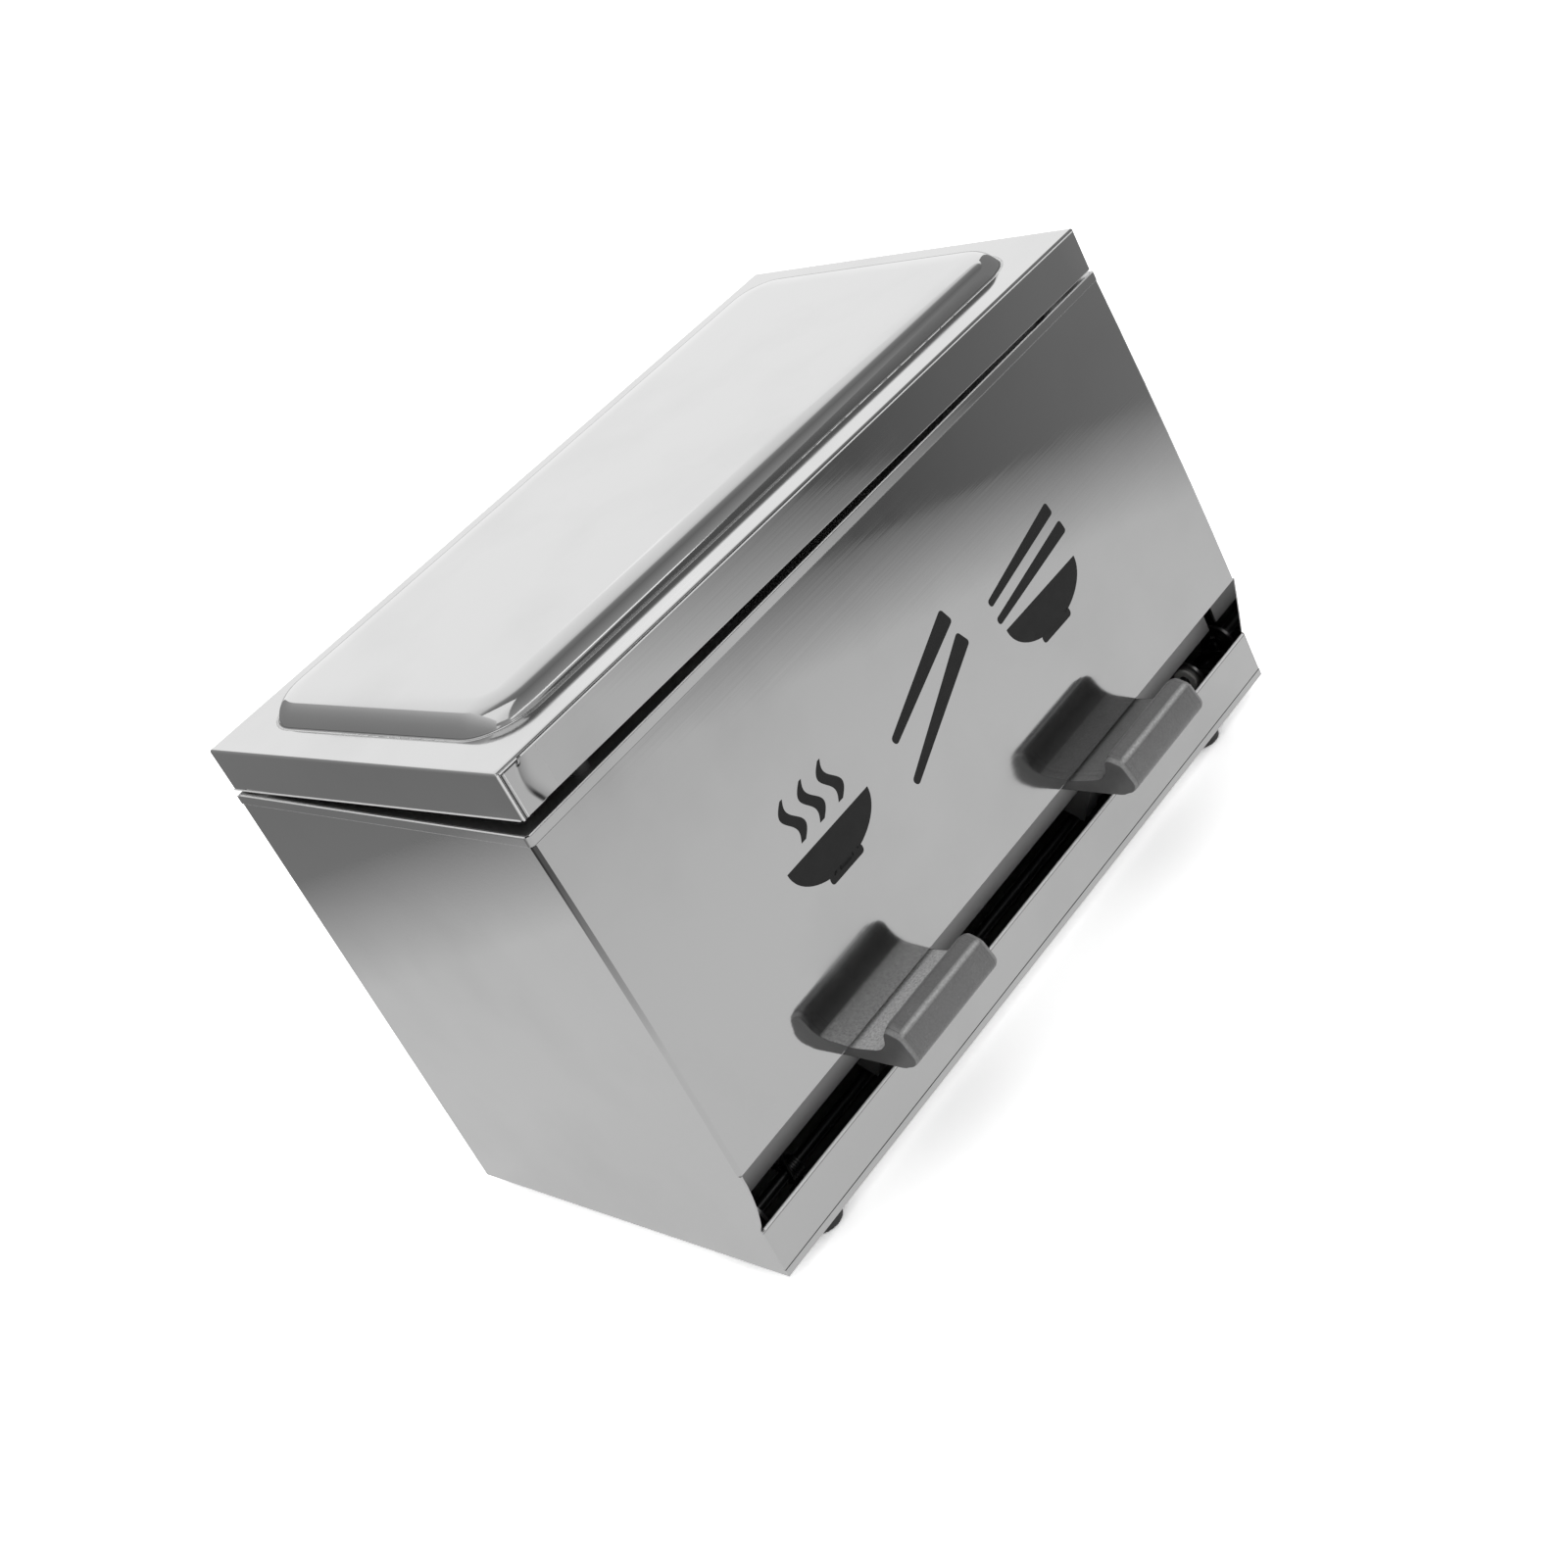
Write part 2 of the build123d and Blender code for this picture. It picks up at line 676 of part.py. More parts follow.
for side, lever_x in lever_places:
    with BuildPart() as press_lever:
        # Tongue over the shelf, running out to the upturned hook.
        with BuildSketch(across(lever_x)):
            with BuildLine():
                FilletPolyline(
                    *[at(y, z) for y, z, _ in lever_profile],
                    radius=[radius for _, _, radius in lever_profile],
                    close=True,
                )
            make_face()
        extrude(amount=lever_width / 2, both=True)
        # Upright corners of the hook, rounded in plan.
        with BuildSketch(level(0)) as plan:
            with Locations((lever_x, (pad_back - hook_reach) / 2)):
                Rectangle(lever_width, pad_back + hook_reach)
            fillet(plan.vertices().group_by(Axis.Y)[0], hook_end_radius)
        extrude(amount=hook_top, mode=Mode.INTERSECT)
        hook_ends = [
            edge
            for edge in press_lever.faces().sort_by(Axis.X)[0].edges()
            + press_lever.faces().sort_by(Axis.X)[-1].edges()
            if edge.center().Y < front_y - panel_kick
        ]
        fillet(hook_ends, lever_edge)
        # Gusset from the tongue down behind the lip to the hub.
        with BuildSketch(across(lever_x)):
            with BuildLine():
                Polyline(*[at(y, z) for y, z in gusset_outline], close=True)
            make_face()
        extrude(amount=gusset_thickness / 2, both=True)
        with BuildSketch(axle_line.offset(lever_x)):
            Circle(hub_radius)
        extrude(amount=hub_length / 2, both=True)
        with BuildSketch(axle_line.offset(lever_x)):
            Circle(axle_radius + hub_clearance)
        extrude(amount=hub_length / 2, both=True, mode=Mode.SUBTRACT)
        # Pilot holes for the screws that come up through the shelf.
        own_screws = [place for place in lever_screws_at if abs(place[0] - lever_x) < lever_width / 2]
        with BuildSketch(level(shelf_top)):
            with Locations(*own_screws):
                Circle(lever_screw_radius + screw_clearance)
        extrude(amount=screw_tip - shelf_top, mode=Mode.SUBTRACT)
    press_lever.part.label = f"press_lever_{side}"
    export_step(press_lever.part, f"parts/press_lever_{side}.step")

# ---- Lever screws: from below the shelf into the levers ----
with BuildPart() as lever_screws:
    with BuildSketch(level(shelf_under)):
        with Locations(*lever_screws_at):
            Circle(lever_screw_radius)
    extrude(amount=screw_tip - shelf_under)
    with BuildSketch(level(shelf_under)):
        with Locations(*lever_screws_at):
            Circle(lever_screw_head)
    extrude(amount=-lever_screw_head_height)
    head_edges = lever_screws.edges().filter_by(GeomType.CIRCLE).group_by(Axis.Z)[0]
    fillet(head_edges, lever_screw_head_round)
lever_screws.part.label = "lever_screws"
export_step(lever_screws.part, "parts/lever_screws.step")

# ---- Torsion springs: close coils round the axle, one leg on the floor, one under the shelf ----
wire_radius = spring_wire / 2
coil_radius = spring_outer_radius - wire_radius
spring_length = spring_turns * spring_wire
for side, sign in (("left", -1), ("right", 1)):
    coil_start = sign * spring_x - spring_length / 2
    with BuildPart() as torsion_spring:
        with BuildSketch(Plane.XZ.offset(-front_y - axle_y)):
            with Locations(*[
                (coil_start + (turn + 0.5) * spring_wire, foot_height + axle_z + coil_radius)
                for turn in range(spring_turns)
            ]):
                Circle(wire_radius)
            with Locations((sign * spring_x, foot_height + axle_z + coil_radius)):
                Rectangle(spring_length - spring_wire, wire_radius)
        revolve(axis=Axis(axle_centre, (1, 0, 0)))
        # Upper leg, under the front of the shelf.
        leg_top = shelf_under - spring_tip_gap
        up_plane = Plane(
            (coil_start + wire_radius, front_y + axle_y - coil_radius, foot_height + axle_z)
        )
        with BuildSketch(up_plane):
            Circle(spring_leg_radius)
        extrude(amount=leg_top - axle_z)
        # Lower leg, back along the floor.
        foot_drop = axle_z - coil_radius - floor_top - wire_radius - spring_foot_gap
        leg_plane = Plane(
            (
                coil_start + spring_length - wire_radius,
                front_y + axle_y,
                foot_height + axle_z - coil_radius,
            ),
            x_dir=(1, 0, 0),
            z_dir=(0, spring_foot_reach, -foot_drop),
        )
        with BuildSketch(leg_plane):
            Circle(spring_leg_radius)
        extrude(amount=spring_foot_reach)
    torsion_spring.part.label = f"torsion_spring_{side}"
    export_step(torsion_spring.part, f"parts/torsion_spring_{side}.step")


# ---- Lid: a pressed tray with a raised pillow, its skirt hemmed inwards ----
def lid_form(inset):
    """Solid of the lid's outside, or of its hollow when drawn in by the sheet."""
    corner = lid_corner_radius - inset
    with BuildPart() as form:
        with BuildSketch(lid_level(skirt_rise)):
            with Locations((0, lid_y(lid_middle))):
                RectangleRounded(lid_width - 2 * inset, lid_depth - 2 * inset, corner)
        extrude(amount=skirt_height - inset)
        top_edges = form.faces().sort_by(lid_axis)[-1].edges()
        fillet(top_edges, lid_edge_radius - inset)
        with BuildSketch(lid_level(lid_rise - inset)):
            with Locations((0, lid_y(lid_middle))):
                RectangleRounded(
                    pillow_length - 2 * inset, pillow_width - 2 * inset, pillow_corner - inset
                )
        with BuildSketch(lid_level(lid_rise - inset + pillow_height)):
            with Locations((0, lid_y(lid_middle))):
                RectangleRounded(
                    pillow_length - 2 * (inset + pillow_slope),
                    pillow_width - 2 * (inset + pillow_slope),
                    pillow_corner - inset - pillow_slope,
                )
        loft(ruled=True)
        crown = form.faces().sort_by(lid_axis)[-1]
        fillet(crown.edges(), pillow_top_radius - inset)
        foot_z = lid_level(lid_rise - inset)
        pillow_foot = [
            edge
            for edge in form.edges()
            if abs(foot_z.to_local_coords(edge.center()).Z) < 0.01
            and abs(foot_z.to_local_coords(edge.center()).X) < pillow_length / 2
            and abs(foot_z.to_local_coords(edge.center()).Y - lid_y(lid_middle)) < pillow_width / 2
        ]
        fillet(pillow_foot, pillow_foot_radius + inset)
    return form.part


with BuildPart() as lid_shell:
    add(lid_form(0))
    add(lid_form(sheet), mode=Mode.SUBTRACT)
    # Flange turned in along the front and sides of the skirt's lower edge.
    with BuildSketch(lid_level(skirt_rise)):
        with Locations((0, lid_y(lid_middle))):
            RectangleRounded(lid_width, lid_depth, lid_corner_radius)
        with Locations((0, lid_y(lid_middle) + (lid_hem - sheet) / 2)):
            Rectangle(
                lid_width - 2 * lid_hem, lid_depth - lid_hem - sheet, mode=Mode.SUBTRACT
            )
    extrude(amount=sheet)
    add(rivet_holes(lid_rivet_plane, sheet), mode=Mode.SUBTRACT)
lid_shell.part.label = "lid_shell"
export_step(lid_shell.part, "parts/lid_shell.step")

# ---- Hinge: a leaf on the back panel, a leaf inside the lid's rear skirt, and their pin ----
knuckle_pitch = hinge_length / knuckle_count
knuckle_length = knuckle_pitch - knuckle_gap
knuckle_centres = [
    (index + 0.5) * knuckle_pitch - hinge_length / 2 for index in range(knuckle_count)
]
hinge_line = Plane(lid_plane.origin, x_dir=(0, 1, 0), z_dir=(1, 0, 0))

with BuildPart() as hinge_leaf_body:
    leaf_top = hinge_z - knuckle_radius - knuckle_gap
    with BuildSketch(level(hinge_z - body_leaf_height)):
        with Locations((0, body_depth + hinge_sheet / 2)):
            Rectangle(hinge_length, hinge_sheet)
    extrude(amount=leaf_top - hinge_z + body_leaf_height)
    for x in knuckle_centres[::2]:
        with BuildSketch(level(leaf_top)):
            with Locations((x, body_depth + hinge_sheet / 2)):
                Rectangle(knuckle_length, hinge_sheet)
        extrude(amount=hinge_z - leaf_top)
        with BuildSketch(hinge_line.offset(x)):
            Circle(knuckle_radius)
        extrude(amount=knuckle_length / 2, both=True)
    with BuildSketch(hinge_line):
        Circle(pin_radius + pin_clearance)
    extrude(amount=hinge_length / 2, both=True, mode=Mode.SUBTRACT)
    add(rivet_holes(body_rivet_plane.offset(hinge_sheet), hinge_sheet), mode=Mode.SUBTRACT)
hinge_leaf_body.part.label = "hinge_leaf_body"
export_step(hinge_leaf_body.part, "parts/hinge_leaf_body.step")

with BuildPart() as hinge_leaf_lid:
    leaf_y = lid_y(lid_back) - sheet - hinge_sheet / 2
    leaf_foot = knuckle_radius + knuckle_gap
    with BuildSketch(lid_level(leaf_foot)):
        with Locations((0, leaf_y)):
            Rectangle(hinge_length, hinge_sheet)
    extrude(amount=lid_leaf_height)
    for x in knuckle_centres[1::2]:
        with BuildSketch(lid_level(0)):
            with Locations((x, leaf_y)):
                Rectangle(knuckle_length, hinge_sheet)
        extrude(amount=leaf_foot)
        with BuildSketch(hinge_line.offset(x)):
            Circle(knuckle_radius)
        extrude(amount=knuckle_length / 2, both=True)
    with BuildSketch(hinge_line):
        Circle(pin_radius + pin_clearance)
    extrude(amount=hinge_length / 2, both=True, mode=Mode.SUBTRACT)
    add(rivet_holes(lid_rivet_plane.offset(-sheet), hinge_sheet), mode=Mode.SUBTRACT)
hinge_leaf_lid.part.label = "hinge_leaf_lid"
export_step(hinge_leaf_lid.part, "parts/hinge_leaf_lid.step")

with BuildPart() as hinge_pin:
    with BuildSketch(hinge_line):
        Circle(pin_radius)
    extrude(amount=hinge_length / 2, both=True)
    for sign in (-1, 1):
        with BuildSketch(hinge_line.offset(sign * hinge_length / 2)):
            Circle(pin_head_radius)
        extrude(amount=sign * pin_head)
hinge_pin.part.label = "hinge_pin"
export_step(hinge_pin.part, "parts/hinge_pin.step")

# ---- Hinge rivets: one row through the back panel, one through the lid's rear skirt ----
with BuildPart() as hinge_rivets_body:
    add(rivet_row(body_rivet_plane.offset(hinge_sheet)))
hinge_rivets_body.part.label = "hinge_rivets_body"
export_step(hinge_rivets_body.part, "parts/hinge_rivets_body.step")

with BuildPart() as hinge_rivets_lid:
    add(rivet_row(lid_rivet_plane))
hinge_rivets_lid.part.label = "hinge_rivets_lid"
export_step(hinge_rivets_lid.part, "parts/hinge_rivets_lid.step")

# ---- Bumpers: rubber buttons on the rim frame that hold up the lid's front edge ----
bumper_x = half_width - bumper_inset
for side, x in (("left", -bumper_x), ("right", bumper_x)):
    with BuildPart() as lid_bumper:
        with BuildSketch(level(body_height)):
            with Locations((x, bumper_y)):
                Circle(bumper_radius)
        extrude(amount=bumper_top - body_height)
        fillet(lid_bumper.faces().sort_by(Axis.Z)[-1].edges(), bumper_radius / 3)
    lid_bumper.part.label = f"lid_bumper_{side}"
    export_step(lid_bumper.part, f"parts/lid_bumper_{side}.step")
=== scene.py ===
"""Chopstick holder: a bent stainless box with a flip lid and a rocker with two plastic hooks."""

from math import cos, pi, radians, sin, tau

import bmesh
import bpy
from mathutils import Matrix, Vector
from mathutils.bvhtree import BVHTree


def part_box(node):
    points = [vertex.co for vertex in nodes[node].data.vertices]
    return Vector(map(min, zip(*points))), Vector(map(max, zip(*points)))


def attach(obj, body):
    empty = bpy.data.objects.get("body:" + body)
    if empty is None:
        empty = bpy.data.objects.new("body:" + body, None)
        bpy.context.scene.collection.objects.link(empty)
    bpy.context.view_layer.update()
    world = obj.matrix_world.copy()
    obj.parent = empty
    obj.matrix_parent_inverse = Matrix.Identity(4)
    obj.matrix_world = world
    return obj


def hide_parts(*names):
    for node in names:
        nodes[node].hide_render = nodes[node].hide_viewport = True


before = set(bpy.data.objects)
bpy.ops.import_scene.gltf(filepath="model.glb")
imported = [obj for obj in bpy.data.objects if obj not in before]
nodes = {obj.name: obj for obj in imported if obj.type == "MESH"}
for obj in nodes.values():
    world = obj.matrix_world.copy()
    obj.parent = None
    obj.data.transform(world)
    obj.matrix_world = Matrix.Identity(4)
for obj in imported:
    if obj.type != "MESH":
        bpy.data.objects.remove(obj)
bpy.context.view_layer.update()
scene = bpy.context.scene


# ---- Body wrap ----
# The front panel and both side walls are one stainless sheet, bent at the front corners and hemmed
# round the mouth. The sheet is bright-rolled, so it mirrors softly, with a faint grain and smudges.
class Shade:
    """A socket of a finish's nodes, so that shader sums are written as Python sums."""

    def __init__(self, tree, socket=None):
        self.tree = tree
        self.socket = socket

    def add(self, kind, settings=(), sockets=(), out=0):
        """Adds a node with its settings and sockets, and gives back one of its outputs."""
        node = self.tree.nodes.new(kind)
        for name, value in dict(settings).items():
            if name == "stops":
                ramp = node.color_ramp
                while len(ramp.elements) < len(value):
                    ramp.elements.new(0.5)
                for element, (place, shade) in zip(ramp.elements, value):
                    element.position = place
                    element.color = (shade, shade, shade, 1)
            else:
                setattr(node, name, value)
        for name, value in dict(sockets).items():
            if isinstance(value, Shade):
                self.tree.links.new(value.socket, node.inputs[name])
            else:
                node.inputs[name].default_value = value
        return Shade(self.tree, node.outputs[out] if len(node.outputs) else None)

    def sum(self, operation, first, second):
        return self.add("ShaderNodeMath", {"operation": operation}, {0: first, 1: second})

    def __add__(self, other):
        return self.sum("ADD", self, other)

    __radd__ = __add__

    def __mul__(self, other):
        return self.sum("MULTIPLY", self, other)

    __rmul__ = __mul__

    def __sub__(self, other):
        return self.sum("SUBTRACT", self, other)

    def __rsub__(self, other):
        return self.sum("SUBTRACT", other, self)

    def less(self, other):
        """1 where this is below the other, and 0 elsewhere."""
        return self.sum("LESS_THAN", self, other)


def finish(name):
    """A new material and the maker of its nodes."""
    material = bpy.data.materials.new(name)
    material.use_nodes = True
    material.node_tree.nodes.clear()
    return material, Shade(material.node_tree)


def surface(make, sockets):
    """Closes a material with a Principled shader that has the given sockets."""
    shader = make.add("ShaderNodeBsdfPrincipled", {}, sockets)
    make.add("ShaderNodeOutputMaterial", {}, {"Surface": shader})


edge_radius = 0.0003
# Seams carry a thin line of painted shade, this wide each side and this much darker.
seam_half_width = 0.00011
seam_shade = 0.6
grain_stretch = (12, 900, 900)
grain_roughness = 0.03
smudge_roughness = 0.09
smudge_darkness = 0.05


def seam_shade_mask(make, place, seams):
    """1 in thin level lines at the given heights, and 0 elsewhere."""
    height = make.add("ShaderNodeSeparateXYZ", {}, {0: place}, out=2)
    mask = make.add("ShaderNodeValue") * 0.0
    for seam in seams:
        near = make.add("ShaderNodeMath", {"operation": "ABSOLUTE"}, {0: height - seam})
        mask = mask.sum("MAXIMUM", mask, near.less(seam_half_width))
    return mask


def steel(name, shade, gloss, grain, wave, seams=()):
    """Stainless sheet: its grey, how rough it is, how strong its rolling grain is, how deep its
    waves are, and the heights of any seams, along which a thin line of painted shade runs."""
    material, make = finish(name)
    place = make.add("ShaderNodeTexCoord", out=3)
    stretched = make.add("ShaderNodeMapping", {}, {"Vector": place, "Scale": grain_stretch})
    lines = make.add("ShaderNodeTexNoise", {}, {"Vector": stretched, "Scale": 1.0, "Detail": 3.0})
    smudge = make.add("ShaderNodeTexNoise", {}, {"Vector": place, "Scale": 26.0, "Detail": 6.0})
    stops = [(0.45, 0.0), (0.75, 1.0)]
    patches = make.add("ShaderNodeValToRGB", {"stops": stops}, {"Fac": smudge})
    rough = patches * smudge_roughness + lines * grain_roughness + gloss
    rounded = make.add("ShaderNodeBevel", {"samples": 6}, {"Radius": edge_radius})
    swell = make.add("ShaderNodeTexNoise", {}, {"Vector": place, "Scale": 9.0, "Detail": 1.0})
    low = make.add(
        "ShaderNodeBump",
        {},
        {"Strength": 1.0, "Distance": wave, "Height": swell, "Normal": rounded},
    )
    fine = make.add(
        "ShaderNodeBump",
        {},
        {"Strength": grain, "Distance": 0.00002, "Height": lines, "Normal": low},
    )
    level = 1 - patches * smudge_darkness
    # Painted shade: the sheet is darker in a thin line at each seam's height.
    if seams:
        level = level * (1 - seam_shade_mask(make, place, seams) * seam_shade)
    grey = level * shade
    tone = make.add("ShaderNodeCombineColor", {}, {0: grey, 1: grey, 2: grey})
    surface(make, {"Base Color": tone, "Metallic": 1.0, "Roughness": rough, "Normal": fine})
    return material


def plain(name, shade, gloss):
    """An even grey, used for painted highlights and painted shade."""
    material, make = finish(name)
    surface(make, {"Base Color": (shade, shade, shade, 1), "Roughness": gloss})
    return material


def dress(material, *names):
    """Gives CAD nodes a finish in place of their plain one."""
    for name in names:
        mesh = nodes[name].data
        mesh.materials.clear()
        mesh.materials.append(material)


wrap_low, wrap_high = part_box("body_wrap")
hem_height = 0.003
bright_sheet = (0.55, 0.04, 0.25, 0.0002)  # shade, gloss, grain and wave
bright_steel = steel("bright_rolled_steel", *bright_sheet)
# The wrap's hem has a line of painted shade along its lower edge.
wrap_steel = steel("wrap_steel", *bright_sheet, [wrap_high[2] - hem_height])
dress(wrap_steel, "body_wrap")

# ---- Back panel, base pan, rim frame and hopper ramp ----
# The box's other sheets are folded and spot-welded inside. All but the base pan, whose lip shows,
# have the duller mill finish of cheap stainless.
mill_steel = steel("mill_steel", 0.5, 0.28, 0.6, 0.0003)
dress(mill_steel, "back_panel", "rim_frame", "hopper_ramp")
pan_low, pan_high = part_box("base_pan")
lip_fold = 0.0024
lip_edge = 0.0008
# The lip's fold and a line just below its top edge carry painted shade.
pan_seams = [pan_low[2] + lip_fold, pan_high[2] - lip_edge]
dress(steel("pan_steel", *bright_sheet, pan_seams), "base_pan")
dress(steel("shelf_steel", 0.5, 0.5, 0.5, 0.0), "rocker_shelf")

# ---- Feet and bumpers ----
# Four black rubber feet are pushed through holes in the floor, and two smaller buttons of the same
# rubber stand on the rim frame, where the lid's front edge rests on them.
rubber, make = finish("black_rubber")
place = make.add("ShaderNodeTexCoord", out=3)
speck = make.add("ShaderNodeTexNoise", {}, {"Vector": place, "Scale": 900.0, "Detail": 3.0})
pits = make.add("ShaderNodeBump", {}, {"Strength": 0.4, "Distance": 0.0001, "Height": speck})
surface(
    make,
    {"Base Color": (0.03, 0.03, 0.03, 1), "Roughness": speck * 0.2 + 0.45, "Normal": pits},
)
dress(rubber, "foot_front_left", "foot_front_right", "foot_rear_left", "foot_rear_right")
dress(rubber, "lid_bumper_left")

# ---- Rocker axle ----
# A steel rod runs in white nylon bushes, held by two mill-finish brackets that are riveted to
# the floor. A clip outside each bracket keeps the rod from sliding out. The rod, the clips and the
# rivets are near-black, as painted shade for the dark slot they sit in.
rod_steel = steel("ground_rod_steel", 0.55, 0.2, 0.5, 0.0)
# Near-black steel: painted shade for the parts down in the slot.
slot_shade_steel = steel("slot_shaded_steel", 0.08, 0.3, 0.5, 0.0)
dress(slot_shade_steel, "axle_rod", "axle_clips", "bracket_rivets")
dress(rod_steel, "lever_screws")
dress(mill_steel, "axle_bracket_left", "axle_bracket_right")
nylon, make = finish("white_nylon")
place = make.add("ShaderNodeTexCoord", out=3)
cloud = make.add("ShaderNodeTexNoise", {}, {"Vector": place, "Scale": 300.0, "Detail": 3.0})
surface(make, {"Base Color": (0.75, 0.75, 0.73, 1), "Roughness": cloud * 0.2 + 0.35})
dress(nylon, "axle_bush_left", "axle_bush_right")

# ---- Torsion springs ----
# Close coils of spring wire round the axle. One end runs back along the floor, and the other stands
# up under the front of the shelf, so that the rocker swings back when the hooks are let go.
wire_radius = 0.0005
coil_radius = 0.00325
coil_turns = 5.25
steps_per_turn = 24
wire_sides = 10
crease_angle = radians(40)


def piece(mesh, name, material, body, slot, *replaced):
    """Makes an object of a mesh, smooth within its creases, riding on a body."""
    data = bpy.data.meshes.new(name)
    mesh.to_mesh(data)
    mesh.free()
    data.materials.append(material)
    data.shade_smooth()
    data.set_sharp_from_angle(angle=crease_angle)
    obj = bpy.data.objects.new(name, data)
    scene.collection.objects.link(obj)
    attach(obj, body)
    if replaced:
        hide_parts(*replaced)
    return obj


axle_low, axle_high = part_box("axle_rod")
axle_y = (axle_low[1] + axle_high[1]) / 2
axle_z = (axle_low[2] + axle_high[2]) / 2
for side in ("left", "right"):
    low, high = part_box(f"torsion_spring_{side}")
    wire = bmesh.new()
    ring = bmesh.ops.create_circle(
        wire, segments=wire_sides, radius=wire_radius, cap_ends=True
    )["verts"]
    bmesh.ops.rotate(wire, cent=(0, 0, 0), matrix=Matrix.Rotation(radians(90), 3, "X"), verts=ring)
    tail = (high[0] - wire_radius, high[1], low[2] + wire_radius)
    bmesh.ops.translate(wire, vec=tail, verts=ring)
    run = bmesh.ops.extrude_edge_only(wire, edges=list(wire.edges))["geom"]
    ring = [item for item in run if isinstance(item, bmesh.types.BMVert)]
    coil_foot = Vector((0, axle_y - high[1], axle_z - coil_radius - low[2] - wire_radius))
    bmesh.ops.translate(wire, vec=coil_foot, verts=ring)
    rim = [item for item in run if isinstance(item, bmesh.types.BMEdge) and item.is_boundary]
    steps = int(coil_turns * steps_per_turn)
    pitch = (high[0] - low[0] - 2 * wire_radius) / steps
    turned = bmesh.ops.spin(
        wire,
        geom=rim,
        cent=(0, axle_y, axle_z),
        axis=(1, 0, 0),
        dvec=(-pitch, 0, 0),
        angle=-coil_turns * tau,
        steps=steps,
        use_duplicate=False,
    )["geom_last"]
    run = bmesh.ops.extrude_edge_only(
        wire, edges=[item for item in turned if isinstance(item, bmesh.types.BMEdge)]
    )["geom"]
    ring = [item for item in run if isinstance(item, bmesh.types.BMVert)]
    bmesh.ops.translate(wire, vec=(0, 0, high[2] - axle_z), verts=ring)
    rim = [item for item in run if isinstance(item, bmesh.types.BMEdge) and item.is_boundary]
    bmesh.ops.edgeloop_fill(wire, edges=rim)
    bmesh.ops.recalc_face_normals(wire, faces=wire.faces)
    coiled = f"torsion_spring_{side}"
    # The springs share that near-black steel, painted shade for the slot.
    piece(wire, f"spring_{side}", slot_shade_steel, "housing", "spring_steel", coiled)

# ---- Low bumper ----
# The button under the lid's front right corner is worn almost flat, so the lid sits a little low
# there. It is the same black rubber as the left one, with its top edge rubbed round.
bumper_low, bumper_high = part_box("lid_bumper_right")
worn_height = 0.0012
worn_taper = 0.92
worn_rounding = 0.0004
bumper_radius = (bumper_high[0] - bumper_low[0]) / 2
bumper_middle = (Vector(bumper_low) + Vector(bumper_high)) / 2
bumper = bmesh.new()
bmesh.ops.create_cone(
    bumper,
    cap_ends=True,
    segments=48,
    radius1=bumper_radius,
    radius2=bumper_radius * worn_taper,
    depth=worn_height,
)
top_edges = [edge for edge in bumper.edges if all(vert.co.z > 0 for vert in edge.verts)]
bmesh.ops.bevel(
    bumper,
    geom=top_edges,
    affect="EDGES",
    offset=worn_rounding,
    segments=4,
    profile=0.5,
    material=-1,
)
to_rim = (*bumper_middle.xy, bumper_low[2] + worn_height / 2)
bmesh.ops.translate(bumper, vec=to_rim, verts=bumper.verts)
piece(bumper, "worn_bumper_right", rubber, "housing", "rubber", "lid_bumper_right")

# ---- Press levers ----
# Two grey plastic hooks, each one moulding with its tongue, gusset and hub, spark-textured. A
# hook's crest falls away and sweeps back at its ends. Painted highlights run along its ridges and
# round the rims of its ends, its crest is a little lighter, and painted sheen lightens the channel
# behind the crest, the left one to a pale grey.
lever_width = 0.042
crest_foot = 0.04
crest_fall = 0.16
fall_run = 0.004
end_sweep = 0.0005
sweep_run = 0.0015
sweep_back = 0.024
front_y = -0.05725
base_z = 0.0046
# A hook's side: y and z in mm from the front of the body's floor, and where the corner's arc starts
lever_side = [
    (24.0, 36.4, 0),
    (24.0, 38.8, 0.7),
    (-3.5, 38.4, 5.0),
    (-18.6, 40.4, 4.6),
    (-21.6, 49.9, 1.9),
    (-27.2, 47.5, 1.3),
    (-29.5, 38.9, 1.5),
    (-27.9, 36.6, 1.0),
    (-23.1, 35.0, 1.6),
    (10.8, 35.0, 0),
    (10.8, 36.4, 0),
]
gusset_side = [
    (-9.0, 35.6),
    (5.6, 25.4),
    (7.0, 20.0),
    (16.0, 6.2),
    (23.0, 10.5),
    (12.8, 19.4),
    (10.8, 20.4),
    (10.8, 35.6),
]
gusset_thickness = 0.008
hub_radius = 0.0045
hub_length = 0.014
hub_clearance = 0.00005
weld_within = 0.000001
# Painted sheen in the channel, a lighter crest, and painted highlights on the crest's end rims and
# ridges
channel_sheen = {"left": 1.9, "right": 0.4}
channel_back, channel_front, channel_foot = 0.01, -0.0175, 0.038
crest_back, crest_low = -0.0205, 0.0365
crest_lightening = 0.16
rim_highlight = 0.5
rim_start, rim_end = 0.0002, 0.0009
ridge_highlight = 1.5
ridge_reach = 0.0014
ridges = ((-21.6, 49.9), (-27.2, 47.5))
end_steps = (0.0003, 0.0005, 0.0008, 0.001, 0.0012, 0.0012)
lever_plastic, make = finish("grey_lever_plastic")
place = make.add("ShaderNodeTexCoord", out=3)
worn = make.add("ShaderNodeAttribute", {"attribute_name": "worn"}, out=2)
spark = make.add("ShaderNodeTexNoise", {}, {"Vector": place, "Scale": 1500.0, "Detail": 2.0})
scuff = make.add("ShaderNodeTexNoise", {}, {"Vector": place, "Scale": 160.0, "Detail": 6.0})
rounded = make.add("ShaderNodeBevel", {"samples": 6}, {"Radius": edge_radius})
